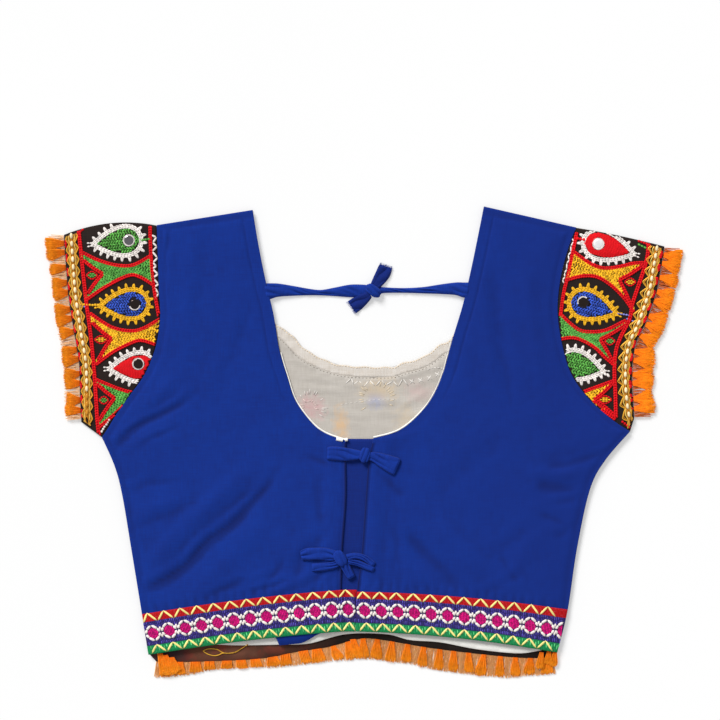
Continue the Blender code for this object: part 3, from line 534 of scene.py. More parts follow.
def mesh_piece(name, verts, faces, material, cloth_places=None, shade=None):
    """A smooth closed mesh in millimetres, with its cloth's flat places and the painted shade of its folds.
    """
    mesh = bpy.data.meshes.new(name)
    mesh.from_pydata((np.asarray(verts) * MM).tolist(), [], faces)
    work = bmesh.new()
    work.from_mesh(mesh)
    bmesh.ops.recalc_face_normals(work, faces=work.faces)
    work.to_mesh(mesh)
    work.free()
    mesh.shade_smooth()
    if shade is not None:
        depth = np.zeros(len(mesh.vertices), np.float32)
        depth[:len(shade)] = shade
        mesh.attributes.new("hollow", "FLOAT", "POINT").data.foreach_set("value", depth)
    if cloth_places is not None:
        corners = np.empty(len(mesh.loops), np.int32)
        mesh.loops.foreach_get("vertex_index", corners)
        layer = mesh.uv_layers.new(name="cloth")
        layer.data.foreach_set("uv", (np.asarray(cloth_places)[corners] * UV_PER_MM).ravel())
    mesh.materials.append(material)
    return put(name, mesh)


def hoop(first, second):
    """Faces that join two closed loops of corner numbers."""
    return np.column_stack([first, np.roll(first, -1), np.roll(second, -1), second]).tolist()


def signed_area(outline):
    """The area inside a closed outline, negative where it runs clockwise."""
    x, y = np.asarray(outline, float)[:, :2].T
    return float(np.dot(x, np.roll(y, -1)) - np.dot(y, np.roll(x, -1))) / 2


def edge_belly(top, rim, wall):
    """Points a little outside a wall's edge, half way down it."""
    belly = top[rim]
    ahead = np.roll(belly, -1, axis=0)[:, :2] - np.roll(belly, 1, axis=0)[:, :2]
    out = np.stack([ahead[:, 1], -ahead[:, 0]], axis=1)
    out /= np.maximum(lengths(out), 1e-9)[:, None]
    belly[:, :2] += out * math.copysign(EDGE_BULGE * wall, signed_area(belly))
    belly[:, 2] -= wall / 2
    return belly


def soft_sheet(name, top, faces, rim, wall, material, places, shade=None):
    """A sheet of cloth under the given upper face, with soft edges round its rim."""
    size = len(top)
    belly = 2 * size + np.arange(len(rim))
    faces = faces + [[size + corner for corner in face[::-1]] for face in faces]
    faces += hoop(rim, belly) + hoop(belly, size + np.array(rim))
    verts = np.concatenate([top, top - np.array([0, 0, wall]), edge_belly(top, rim, wall)])
    return mesh_piece(name, verts, faces, material, np.concatenate([places, places, places[rim]]), shade)


def cloth_wall(name, top, wall, material, places=None, shade=None):
    """A sheet of cloth under a grid of points."""
    flat = top.reshape(-1, 3)
    corner = np.arange(len(flat)).reshape(top.shape[:2])
    faces = np.stack([corner[:-1, :-1], corner[:-1, 1:], corner[1:, 1:], corner[1:, :-1]], axis=-1)
    rim = np.concatenate([corner[0], corner[1:, -1], corner[-1, -2::-1], corner[-2:0:-1, 0]])
    places = flat[:, :2] if places is None else places.reshape(-1, 2)
    shade = None if shade is None else shade.ravel()
    return soft_sheet(name, flat, faces.reshape(-1, 4).tolist(), rim, wall, material, places, shade)


def divided(outline, step):
    """A closed outline with its long edges divided into steps."""
    points = []
    for start, end in zip(outline, np.roll(outline, -1, axis=0)):
        count = max(1, math.ceil(math.dist(start, end) / step))
        points += [start + (end - start) * k / count for k in range(count)]
    return np.array(points)


def cut_sheet(name, outline, spacing, height, wall, material):
    """A sheet cut to an outline. The height function gives its upper face at each place."""
    outline = divided(outline if signed_area(outline) > 0 else outline[::-1], spacing)
    low, high = outline.min(0), outline.max(0)
    inside = []
    for k, y in enumerate(np.arange(low[1], high[1], spacing)):
        shift = spacing / 2 if k % 2 else 0.0
        inside += [(x, y) for x in np.arange(low[0] + shift, high[0], spacing)]
    inside = np.array(inside)
    near = np.full(len(inside), 1e9)
    for point in outline:
        near = np.minimum(near, np.hypot(*(inside - point).T))
    inside = inside[near > 0.6 * spacing]
    count = len(outline)
    points = [Vector(p) for p in np.concatenate([outline, inside])]
    made = geometry.delaunay_2d_cdt(points, [], [list(range(count))], 1, 1e-5, True)
    triangles = [face for face, source in zip(made[2], made[5]) if source]
    number = {old: new for new, source in enumerate(made[3]) for old in source}
    used = sorted({corner for face in triangles for corner in face} | {number[k] for k in range(count)})
    renumber = {old: new for new, old in enumerate(used)}
    triangles = [[renumber[corner] for corner in face] for face in triangles]
    rim = [renumber[number[k]] for k in range(count)]
    flat = np.array([tuple(made[0][k]) for k in used])
    return soft_sheet(name, np.column_stack([flat, height(flat)]), triangles, rim, wall, material, flat)


class Ground:
    """Finds the height of finished pieces under a place."""

    def __init__(self, *pieces):
        verts, faces = [], []
        for piece in pieces:
            start = len(verts)
            verts += [v.co / MM for v in piece.data.vertices]
            faces += [tuple(start + c for c in p.vertices) for p in piece.data.polygons]
        self.tree = BVHTree.FromPolygons(verts, faces)

    def height(self, x, y, missing=None):
        """The height of the top at a place, or the missing value beside the pieces."""
        hit = self.tree.ray_cast(Vector((x, y, ABOVE_ALL)), Vector((0, 0, -1)))[0]
        return hit.z if hit else missing


def hand_over(piece, slot, *nodes):
    """Ties a finished piece to the frame and hides the imported nodes that it stands for. The slot is not
    used.
    """
    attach(piece, "root")
    if nodes:
        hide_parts(*nodes)
    return piece


def outline_area(outline):
    """The area inside an outline, in square metres."""
    return abs(signed_area(outline)) * MM * MM


def grid_area(grid):
    """The area of a flat grid of places, in square metres."""
    right, down = np.diff(grid[:-1], axis=1), np.diff(grid[:, :-1], axis=0)
    return float(np.abs(right[..., 0] * down[..., 1] - right[..., 1] * down[..., 0]).sum()) * MM * MM


class Nodes:
    """A tree of nodes in the making, with short ways to add and join them."""

    def __init__(self, tree):
        self.tree = tree

    def add(self, kind, **values):
        """A node with its inputs set or joined by name."""
        node = self.tree.nodes.new(kind)
        for name, value in values.items():
            self.give(node.inputs[name.replace("_", " ")], value)
        return node

    def give(self, socket, value):
        """Joins an output to a socket, or sets the socket's own value."""
        if isinstance(value, bpy.types.NodeSocket):
            self.tree.links.new(value, socket)
        else:
            socket.default_value = value

    def sum(self, operation, a, b=0.0):
        """The output of a math node."""
        node = self.tree.nodes.new("ShaderNodeMath")
        node.operation = operation
        self.give(node.inputs[0], a)
        self.give(node.inputs[1], b)
        return node.outputs[0]

    def limited(self, value, low, high):
        """A value kept between two others."""
        return self.sum("MINIMUM", self.sum("MAXIMUM", value, low), high)

    def average(self, a, b, share=0.5):
        """The given share of one value and the rest of another."""
        return self.sum("ADD", self.sum("MULTIPLY", a, share), self.sum("MULTIPLY", b, 1 - share))

    def speckle(self, where, scale, detail=2.0):
        """Noise from 0 to 1."""
        return self.add("ShaderNodeTexNoise", Vector=where, Scale=scale, Detail=detail).outputs["Fac"]


class Finish(Nodes):
    """A material in the making."""

    def __init__(self, name, roughness=0.8, metallic=0.0, sheen=0.0, specular=0.3):
        self.material = bpy.data.materials.new(name)
        self.material.use_nodes = True
        super().__init__(self.material.node_tree)
        self.shader = self.tree.nodes["Principled BSDF"]
        self.set(Roughness=roughness, Metallic=metallic, Sheen_Weight=sheen, Specular_IOR_Level=specular)

    def set(self, **values):
        """Sets or joins inputs of the shader by name."""
        for name, value in values.items():
            self.give(self.shader.inputs[name.replace("_", " ")], value)

    def blend(self, factor, a, b, kind="MIX"):
        """The output of a colour mix."""
        node = self.tree.nodes.new("ShaderNodeMix")
        node.data_type = "RGBA"
        node.blend_type = kind
        for number, value in ((0, factor), (6, a), (7, b)):
            self.give(node.inputs[number], value)
        return node.outputs[2]

    def shaded(self, colour, shade):
        """A colour made lighter or darker by a shade."""
        grey = self.add("ShaderNodeCombineXYZ", X=shade, Y=shade, Z=shade).outputs[0]
        return self.blend(1.0, colour, grey, "MULTIPLY")

    def place(self):
        """Places on the piece, in metres."""
        return self.add("ShaderNodeTexCoord").outputs["Object"]

    def cloth_place(self):
        """Places on the piece's own cloth."""
        node = self.add("ShaderNodeUVMap")
        node.uv_map = "cloth"
        return node.outputs["UV"]

    def axes(self, where):
        """The separate values of a place."""
        return self.add("ShaderNodeSeparateXYZ", Vector=where).outputs

    def weave(self, where, pitch, slub=1.0):
        """The shared weave: its thread height and its shade."""
        node = self.tree.nodes.new("ShaderNodeGroup")
        node.node_tree = WEAVE
        for name, value in (("Place", where), ("Pitch", pitch), ("Slub", slub)):
            self.give(node.inputs[name], value)
        return node.outputs["Height"], node.outputs["Shade"]

    def carried(self, name):
        """What the piece's points carry under a name."""
        node = self.add("ShaderNodeAttribute")
        node.attribute_name = name
        return node.outputs

    def end(self, colour, height=None, strength=0.2):
        """Joins the colour and the bump to the shader and gives the material."""
        self.set(Base_Color=colour)
        if height is not None:
            bump = self.add("ShaderNodeBump", Strength=strength, Distance=0.0004, Height=height)
            self.set(Normal=bump.outputs["Normal"])
        return self.material


def make_weave():
    """A plain weave as a shared group: crossing threads, and the uneven shade of hand-woven yarn."""
    group = bpy.data.node_groups.new("plain_weave", "ShaderNodeTree")
    number = "NodeSocketFloat"
    for name, kind in (("Place", "NodeSocketVector"), ("Pitch", number), ("Slub", number)):
        group.interface.new_socket(name=name, in_out="INPUT", socket_type=kind)
    for name in ("Height", "Shade"):
        group.interface.new_socket(name=name, in_out="OUTPUT", socket_type=number)
    nodes = Nodes(group)
    start = nodes.add("NodeGroupInput").outputs
    axes = nodes.add("ShaderNodeSeparateXYZ", Vector=start["Place"]).outputs
    turn = nodes.sum("DIVIDE", math.pi, start["Pitch"])
    warp, weft = (nodes.sum("SINE", nodes.sum("MULTIPLY", axes[axis], turn)) for axis in "XY")
    shades = []
    for stretch in ((1.0, 0.06, 1.0), (0.06, 1.0, 1.0)):
        spread = nodes.tree.nodes.new("ShaderNodeVectorMath")
        spread.operation = "MULTIPLY"
        nodes.give(spread.inputs[0], start["Place"])
        nodes.give(spread.inputs[1], stretch)
        shades.append(nodes.speckle(spread.outputs[0], nodes.sum("DIVIDE", 0.5, start["Pitch"])))
    slub = nodes.sum("MULTIPLY", nodes.sum("SUBTRACT", nodes.sum("ADD", *shades), 1.0), start["Slub"])
    height = nodes.sum("ABSOLUTE", nodes.sum("MULTIPLY", warp, weft))
    nodes.add("NodeGroupOutput", Height=height, Shade=nodes.sum("ADD", slub, 0.5))
    return group


WEAVE = make_weave()


def woven_finish(name, light, dark, pitch=0.00042, slub=1.0, patch=28.0):
    """Plain woven cloth with the shade of its yarn and soft patches of wear."""
    finish = Finish(name, 0.88, sheen=0.04, specular=0.18)
    where = finish.cloth_place()
    height, shade = finish.weave(where, pitch * UV_PER_MM / MM, slub)
    tone = finish.average(shade, finish.speckle(where, patch * MM / UV_PER_MM, 6.0), 0.55)
    colour = finish.blend(finish.sum("SUBTRACT", finish.sum("MULTIPLY", tone, 2.0), 0.5), dark, light)
    return finish, colour, height


def plain_cotton(name, light, dark, strength, **more):
    """Cotton without folds or stains of its own."""
    finish, colour, height = woven_finish(name, light, dark, **more)
    return finish.end(colour, height, strength)


def blue_cotton():
    """The blue cotton of the back panels, with painted shade in its folds, along the turned edge of its
    opening and towards the right.
    """
    finish, colour, height = woven_finish("blue_cotton", BLUE_CLOTH, BLUE_YARN_AND_PAINTED_SHADE)
    # Painted shade: the hollow value darkens the blue in its folds and along the turned edge of the opening.
    depth = finish.sum("MULTIPLY", finish.carried("hollow")["Fac"], 0.6)
    # Painted shade: the blue is darkened towards the right of the back.
    right = finish.limited(finish.sum("MULTIPLY", finish.axes(finish.place())["X"], 3.8), 0.0, 0.62)
    colour = finish.blend(right, colour, BLUE_YARN_AND_PAINTED_SHADE)
    return finish.end(finish.blend(depth, colour, BLUE_PAINTED_SHADE), height, 0.25)


def front_cotton():
    """The front's dark cotton, worn brown and thin towards the left of the hem, with a painted navy sheen at
    its far left.
    """
    finish, colour, height = woven_finish("front_cotton", DARK_CLOTH, srgb(28, 21, 19))
    where = finish.place()
    along = finish.axes(where)["X"]
    patches = finish.sum("MULTIPLY", finish.speckle(where, 70.0, 4.0), 1.5)
    left = finish.sum("MULTIPLY", finish.sum("ADD", along, 0.02), -12.0)
    worn = finish.limited(finish.sum("MULTIPLY", left, patches), 0.0, 0.85)
    colour = finish.blend(worn, colour, DARK_BROWN)
    rust = finish.sum("MULTIPLY", finish.sum("SUBTRACT", finish.speckle(where, 110.0, 3.0), 0.5), 5.0)
    colour = finish.blend(finish.sum("MULTIPLY", finish.limited(rust, 0.0, 0.6), worn), colour, RUST)
    # Painted sheen: the far left of the front turns navy in patches, for the bluish sheen on the dark cloth
    # there.
    far = finish.limited(finish.sum("MULTIPLY", finish.sum("ADD", along, 0.146), -60.0), 0.0, 1.0)
    far = finish.sum("MINIMUM", finish.sum("MULTIPLY", far, patches), 0.85)
    return finish.end(finish.blend(far, colour, NAVY_PAINTED_SHEEN), height, 0.3)


def lining_cotton():
    """Thin off-white lining, with the colours of the embroidered front showing through faintly and painted
    light towards the hem.
    """
    finish, colour, height = woven_finish("lining_cotton", LINING_TONE, LINING_SHADE, slub=0.9, patch=50.0)
    where = finish.place()
    grain = finish.speckle(where, 240.0, 3.0)
    for patch in LINING_PATCHES:
        scale = (1 / (patch.half_x * MM), 1 / (patch.half_y * MM), 0.0)
        middle = (-patch.x / patch.half_x, -patch.y / patch.half_y, 0.0)
        mapping = finish.add("ShaderNodeMapping", Vector=where, Scale=scale, Location=middle)
        away = finish.add("ShaderNodeVectorMath", Vector=mapping.outputs[0])
        away.operation = "LENGTH"
        faint = finish.sum("SUBTRACT", 1.0, away.outputs["Value"])
        ragged = finish.sum("ADD", faint, finish.sum("MULTIPLY", finish.sum("SUBTRACT", grain, 0.5), 1.6))
        amount = finish.sum("MULTIPLY", finish.limited(ragged, 0.0, 1.0), patch.strength)
        colour = finish.blend(amount, colour, srgb(*patch.tone))
    # Painted light: the lining turns whiter towards the hem, against the shade that the back's hem casts
    # there.
    low = finish.limited(finish.sum("MULTIPLY", finish.axes(where)["Y"], -20.0), 2.0, 3.0)
    return finish.end(finish.blend(finish.sum("SUBTRACT", low, 2.0), colour, WHITE_TONE), height, 0.2)


def thread_finish(name, roughness=0.7, sheen=0.0, metallic=0.0, twist=900.0, depth=0.25):
    """Embroidery thread in the colour that each stitch carries, with fine twisted plies."""
    finish = Finish(name, roughness, metallic, sheen, 0.2)
    finish.set(Sheen_Roughness=0.6, Sheen_Tint=(1.0, 0.42, 0.06, 1.0))
    where = finish.place()
    ply = finish.speckle(where, twist)
    shade = finish.sum("ADD", finish.average(ply, finish.speckle(where, 160.0)), 0.5)
    return finish.end(finish.shaded(finish.carried("tint")["Color"], shade), ply, depth)


def ribbon_weave():
    """The ribbon's ground: bands of colour across it, with upright ribs and flecks."""
    finish = Finish("ribbon_weave", 0.75, specular=0.15)
    where = finish.cloth_place()
    axes = finish.axes(where)
    down = finish.sum("DIVIDE", axes["Y"], RIBBON_WIDTH * UV_PER_MM)
    bands = finish.add("ShaderNodeValToRGB", Fac=down)
    ramp = bands.color_ramp
    ramp.interpolation = "CONSTANT"
    for place, tone in RIBBON_BANDS:
        stop = ramp.elements[0] if place == 0 else ramp.elements.new(place / RIBBON_WIDTH)
        stop.color = tone
    ramp.elements.remove(ramp.elements[len(RIBBON_BANDS)])
    turn = 2 * math.pi / (RIB_PITCH * UV_PER_MM)
    rib = finish.sum("SINE", finish.sum("MULTIPLY", axes["X"], turn))
    rib = finish.sum("ADD", finish.sum("MULTIPLY", rib, 0.5), 0.5)
    fleck = finish.sum("MAXIMUM", finish.sum("SUBTRACT", finish.speckle(where, 130.0), 0.58), 0.0)
    shade = finish.sum("ADD", finish.sum("MULTIPLY", rib, 0.45), 0.55)
    ribbed = finish.shaded(bands.outputs["Color"], shade)
    return finish.end(finish.blend(finish.sum("MULTIPLY", fleck, 1.2), ribbed, FLECK_TONE), rib, 0.5)


def mirror_glass(name, tone, roughness, metallic=1.0):
    """Small cut mirror whose tone is a painted reflection, with soft cloudy patches in that tone."""
    finish = Finish(name, roughness, metallic=metallic, specular=0.5)
    cloud = finish.speckle(finish.place(), 420.0, 3.0)
    return finish.end(finish.blend(cloud, tone, tuple(0.7 * c for c in tone[:3]) + (1.0,)), cloud, 0.12)


# The woven ribbon: its width, the bands from its top edge and the places of its raised threads.
RIBBON_WIDTH = 35.0
RIBBON_REPEATS = (13, 12.5)
RIBBON_SKEW = 0.16
RIB_PITCH = 1.25
FLECK_TONE = srgb(206, 196, 214)
RIBBON_BANDS = (
    (0, srgb(206, 14, 22)),
    (6.4, srgb(46, 36, 112)),
    (10.0, srgb(58, 36, 104)),
    (23.5, srgb(48, 44, 108)),
    (27.6, srgb(22, 152, 86)),
)
ZIGZAG_TOP = (-0.8, 6.8)
ZIGZAG_BOTTOM = (26.8, 34.4)
HEXAGON_MIDDLE = 16.8
HEXAGON_TOP = 10.0
HEXAGON_BOTTOM = 23.6


def begin_tree(name, **kinds):
    """An empty Geometry Nodes tree: its nodes, and what comes in by its named inputs."""
    tree = bpy.data.node_groups.new(name, "GeometryNodeTree")
    kinds = {"Geometry": "NodeSocketGeometry", **kinds, "Material": "NodeSocketMaterial"}
    for label, kind in kinds.items():
        tree.interface.new_socket(name=label, in_out="INPUT", socket_type=kind)
    tree.interface.new_socket(name="Geometry", in_out="OUTPUT", socket_type="NodeSocketGeometry")
    nodes = Nodes(tree)
    return nodes, nodes.add("NodeGroupInput").outputs


def named_value(nodes, name, kind):
    """A value that the points carry."""
    node = nodes.tree.nodes.new("GeometryNodeInputNamedAttribute")
    node.data_type = kind
    node.inputs["Name"].default_value = name
    return node.outputs["Attribute"]


def end_tree(nodes, start, made):
    """Realizes what was made, smooths it and gives it its material."""
    real = nodes.add("GeometryNodeRealizeInstances", Geometry=made)
    shade = nodes.add("GeometryNodeSetShadeSmooth", Geometry=real.outputs[0])
    paint = nodes.add("GeometryNodeSetMaterial", Geometry=shade.outputs[0], Material=start["Material"])
    nodes.add("NodeGroupOutput", Geometry=paint.outputs[0])
    return nodes.tree


def make_stitch_tree():
    """Lays one padded stitch on each point, turned and sized by what the point carries."""
    nodes, start = begin_tree("laid_stitches", Sides="NodeSocketInt", Rings="NodeSocketInt")
    points = nodes.add("GeometryNodeMeshToPoints", Mesh=start["Geometry"])
    sides, rings = start["Sides"], start["Rings"]
    stitch = nodes.add("GeometryNodeMeshUVSphere", Radius=0.5, Segments=sides, Rings=rings)
    turn = nodes.add("FunctionNodeEulerToRotation", Euler=named_value(nodes, "turn", "FLOAT_VECTOR"))
    laid = nodes.add("GeometryNodeInstanceOnPoints", Points=points.outputs[0], Rotation=turn.outputs[0],
                     Instance=stitch.outputs["Mesh"], Scale=named_value(nodes, "size", "FLOAT_VECTOR"))
    return end_tree(nodes, start, laid.outputs[0])


def make_thread_tree():
    """Turns each drawn path into a round thread as thick as its points say."""
    nodes, start = begin_tree("drawn_threads", Sides="NodeSocketInt")
    curve = nodes.add("GeometryNodeMeshToCurve", Mesh=start["Geometry"])
    ring = nodes.add("GeometryNodeCurvePrimitiveCircle", Radius=1.0, Resolution=start["Sides"])
    swept = nodes.add("GeometryNodeCurveToMesh", Curve=curve.outputs[0], Profile_Curve=ring.outputs[0],
                      Scale=named_value(nodes, "thickness", "FLOAT"), Fill_Caps=True)
    return end_tree(nodes, start, swept.outputs[0])


STITCH_TREE = make_stitch_tree()
THREAD_TREE = make_thread_tree()
VALUE_FIELDS = {"FLOAT": "value", "FLOAT_VECTOR": "vector", "FLOAT_COLOR": "color"}


def run_tree(tree, name, points, edges, values, settings):
    """Runs a tree on points that carry the given values, and gives a plain object."""
    mesh = bpy.data.meshes.new(name)
    mesh.from_pydata((np.array(points) * MM).tolist(), edges, [])
    for label, (kind, data) in values.items():
        attribute = mesh.attributes.new(label, kind, "POINT")
        attribute.data.foreach_set(VALUE_FIELDS[kind], np.asarray(data, np.float32).ravel())
    holder = put(name + "_draft", mesh)
    modifier = holder.modifiers.new("making", "NODES")
    modifier.node_group = tree
    for item in tree.interface.items_tree:
        if item.in_out == "INPUT" and item.name in settings:
            modifier[item.identifier] = settings[item.name]
    made = bpy.data.meshes.new_from_object(holder.evaluated_get(bpy.context.evaluated_depsgraph_get()))
    holder.modifiers.clear()
    bpy.data.objects.remove(holder)
    made.name = name
    for label in values:
        if label != "tint" and label in made.attributes:
            made.attributes.remove(made.attributes[label])
    return put(name, made)


def stepped(path, step):
    """Points along a path, about a step apart, and the way to the left at each."""
    even = even_path(path, max(2, int(round(path_length(path) / step)) + 1))
    return even, sideways(even)


class Stitches:
    """Stitches gathered for one piece and laid on the ground below them."""

    def __init__(self, ground, seed):
        self.ground = ground
        self.draw = random.Random(seed)
        self.points, self.turns, self.sizes, self.tints = [], [], [], []

    def lay(self, middle, angle, length, width, colour, lift=0.0, high=None, fade=0.12):
        """One stitch at a place, if there is cloth under it."""
        half = np.array([math.cos(angle), math.sin(angle)]) * length * 0.4
        ends = [self.ground.height(*(np.asarray(middle) + side * half)) for side in (-1, 1)]
        if None in ends or min(ends) < LOWEST_CLOTH:
            return
        pitch = math.atan2(ends[1] - ends[0], 0.8 * length)
        thick = high or STITCH_HEIGHT * width
        self.points.append((middle[0], middle[1], sum(ends) / 2 + lift + 0.22 * thick))
        self.turns.append((0.0, -pitch, angle))
        self.sizes.append((length * MM, width * MM, thick * MM))
        shade = 1 + self.draw.uniform(-fade, fade)
        tone = THREADS[colour] if isinstance(colour, str) else colour
        self.tints.append([c * shade for c in tone[:3]] + [1.0])

    def between(self, start, end, width, colour, overlap=1.1, **more):
        """One stitch from one place to another."""
        run = np.subtract(end, start)
        length = float(np.hypot(*run)) * overlap
        self.lay(np.add(start, end) / 2, math.atan2(run[1], run[0]), length, width, colour, **more)

    def row(self, path, length, width, colour, **more):
        """Stitches end to end along a path."""
        even, _ = stepped(path, length)
        for a, b in zip(even, even[1:]):
            self.between(a, b, width, colour, **more)

    def chain(self, path, width, colour, pitch, **more):
        """A chain of pairs of stitches, each pair closing to a point."""
        even, side = stepped(path, pitch)
        for a, b, out in zip(even, even[1:], side):
            for hand in (-width, width):
                self.between(a + out * hand * 0.14, b + out * hand * 0.34, width * 0.56, colour, 1.35, **more)

    def zigzag(self, path, reach, pitch, width, colour, **more):
        """A line of stitches to and fro across a path, sewn by hand and so a little uneven."""
        count = max(3, int(path_length(path) / pitch * 2))
        even = even_path(path, count)
        side = sideways(even)
        hand = random.Random(count)
        corners = []
        for k, (spot, out) in enumerate(zip(even, side)):
            far = reach * (1 if k % 2 else -1) * hand.uniform(0.55, 1.45)
            slip = -left_of(out) * pitch * hand.uniform(-0.22, 0.22)
            corners.append(spot + out * far + slip)
        for a, b in zip(corners, corners[1:]):
            self.between(a, b, width, colour, **more)

    def make(self, name, material, sides=6, rings=4):
        """The finished mesh of stitches."""
        values = {"turn": ("FLOAT_VECTOR", self.turns), "size": ("FLOAT_VECTOR", self.sizes),
                  "tint": ("FLOAT_COLOR", self.tints)}
        settings = {"Sides": sides, "Rings": rings, "Material": material}
        return run_tree(STITCH_TREE, name, self.points, [], values, settings)


class Strands:
    """Threads gathered for one piece, each a path with a thickness and a colour."""

    def __init__(self, seed):
        self.draw = random.Random(seed)
        self.points, self.edges, self.radii, self.tints = [], [], [], []

    def add(self, path, radius, start_colour, end_colour=None):
        """One thread, which may taper and may change colour along its path."""
        start = len(self.points)
        count = len(path)
        share = np.linspace(0, 1, count)
        first = np.array(start_colour, float)
        last = first if end_colour is None else np.array(end_colour, float)
        self.points += [tuple(p) for p in path]
        self.edges += [(start + k, start + k + 1) for k in range(count - 1)]
        self.radii += list(np.broadcast_to(np.asarray(radius, float) * MM, (count,)))
        self.tints += [tuple(first + (last - first) * s) for s in share]

    def make(self, name, material, sides=5):
        """The finished mesh of threads."""
        values = {"thickness": ("FLOAT", self.radii), "tint": ("FLOAT_COLOR", self.tints)}
        settings = {"Sides": sides, "Material": material}
        return run_tree(THREAD_TREE, name, self.points, self.edges, values, settings)


def panel_edges(yoke, body, step):
    """Sections down a back panel, about a step apart."""
    rows = []
    for table in (yoke, body):
        for k in range(len(table) - 1):
            drop = math.dist(table[k][:2], table[k + 1][:2]) + math.dist(table[k][2:4], table[k + 1][2:4])
            count = max(1, math.ceil(drop / 2 / step))
            rows.append(spline(table, k + np.arange(count) / count))
    rows.append(spline(body, [len(body) - 1]))
    return np.concatenate(rows)


def across(rows, shares):
    """Places across each section, at the given shares from its outer edge to its inner one."""
    outer, inner, bow = rows[:, None, 0:2], rows[:, None, 2:4], rows[:, 4:5]
    places = outer + (inner - outer) * shares[None, :, None]
    places[..., 1] += 4 * shares * (1 - shares) * bow
    return places


def hem_dip(x):
    """How far the cloth hangs below the ribbon."""
    return HEM_DIP_DEPTH * smooth((x - HEM_DIP_LEFT) / 2.5) * smooth((HEM_DIP_RIGHT - x) / 21)


def edge_shares(count):
    """Shares from 0 to 1 with a few more close to both ends."""
    more = [0.002, 0.006, 0.982, 0.986, 0.99, 0.994, 0.998]
    return np.unique(np.concatenate([np.linspace(0, 1, count), more]))


class Panel:
    """One blue back panel: its sections, its cloth and the ribbon's run over its hem."""

    def __init__(self, side, yoke, body, dips):
        self.side = side
        self.yoke, self.body, self.dips = yoke, body, dips
        self.rows = panel_edges(yoke, body, MESH_STEP)
        self.shares = edge_shares(96)
        self.places = across(self.rows, self.shares)

    def heights(self, places):
        """The underside's height at rows of places across the panel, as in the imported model."""
        shoulder = self.places[:1] if places.shape[1] == self.places.shape[1] else self.places[:1, :1]
        from_edge = np.minimum(lengths(places - places[:, :1]), lengths(places - shoulder))
        from_neck = lengths(places - places[:, -1:])
        drop = EDGE_DROP * (1 - smooth(from_edge / EDGE_REACH))
        inside = smooth(from_edge / 28) * smooth((from_neck + 4) / 24)
        loft = BACK_LOFT + relief(BACK_FOLDS, places)
        return BACK_BASE - drop + placket_lift(places) + np.maximum(inside * loft, 0.0)

    def cloth(self, material):
        """The panel's cloth with its folds, fine creases, neck band and gathered hem."""
        places = self.places.copy()
        if self.dips:
            places[-1, :, 1] -= hem_dip(places[-1, :, 0])
        self.flat = places
        from_neck = lengths(places - places[:, -1:])
        from_outer = lengths(places - places[:, :1])
        from_hem = lengths(places - places[-1:])
        calm = smooth(from_outer / 12) * smooth(from_neck / 9) * smooth((from_hem - RIBBON_WIDTH) / 12)
        drift = np.stack([wandering(places, 34, 2.5), wandering(places, 34, 9.5)], axis=-1) * FOLD_DRIFT
        finer = 0.15 * relief(BACK_FOLDS, places + drift) + relief(FINE_CREASES, places + drift)
        heights = self.heights(self.places) + SOLID_WALL
        heights += calm * (FOLD_SHARE * finer + DRAG_SHARE * drag_relief(DRAG_LINES, places + drift))
        heights += calm * (0.32 * wandering(places, 22, 1.5) + 0.13 * wandering(places, 6.5, 4.5))
        heights -= 0.42 * (bell((from_neck - NECK_BAND) / 1.1) * smooth((places[..., 1] - 24) / 40))
        by_opening = places[..., 1] < 0
        heights -= 0.3 * bell((from_neck - OPENING_SEAM) / 0.9) * by_opening
        gathers = np.sin(places[..., 0] * 2 * math.pi / GATHER_PITCH + 3 * wandering(places, 30, 8))
        heights += 0.3 * bell((from_hem - GATHERS_UP) / 4.5) * gathers
        heights = np.maximum(heights, LINING_BASE + THIN_SOLID_WALL + CLOTH + 0.2)
        # Painted shadow: a narrow band along the turned edge of the opening is darkened, and each fold gets
        # painted shade by how deep it lies.
        painted_edge_shadow = bell(from_neck / 1.3) * by_opening
        shade = np.minimum(hollows(heights, 9) / 0.5 + DEEP_SHADE * painted_edge_shadow, DEEP_SHADE)
        top = np.dstack([places, heights])
        return cloth_wall(f"back_{self.side}_cloth", top, CLOTH, material, shade=shade)

    def ribbon_grid(self, reach_to=None):
        """The ribbon's lower face over the hem, which steps down to the strip where it reaches on."""
        fine = np.append(np.linspace(*RIBBON_ROWS, 200), RIBBON_LIP)
        steps = np.diff(spline(self.body, fine), axis=0)
        gone = np.cumsum(np.hypot(steps[:, 0], steps[:, 1]) + np.hypot(steps[:, 2], steps[:, 3]))
        run = np.interp(np.linspace(0, gone[-1], 24), np.append(0, gone), fine)
        rows = spline(self.body, run)
        places = across(rows, np.linspace(0, 1, 90))
        grid = np.dstack([places, self.heights(places) + SOLID_WALL + GAP])
        if reach_to is None:
            return grid
        limits = spline(reach_to.body, run)[:, 2] - 0.45
        strip_top = BACK_BASE + THIN_SOLID_WALL + GAP
        steps = []
        for share in np.linspace(0, 1, 10)[1:]:
            column = grid[:, -1].copy()
            column[:, 0] += (limits - column[:, 0]) * share
            fall = smooth((column[:, 0] - grid[:, -1, 0] - 0.7) / 2.2)
            column[:, 2] += (strip_top - column[:, 2]) * fall
            steps.append(column[:, None])
        return np.concatenate([grid, *steps], axis=1)


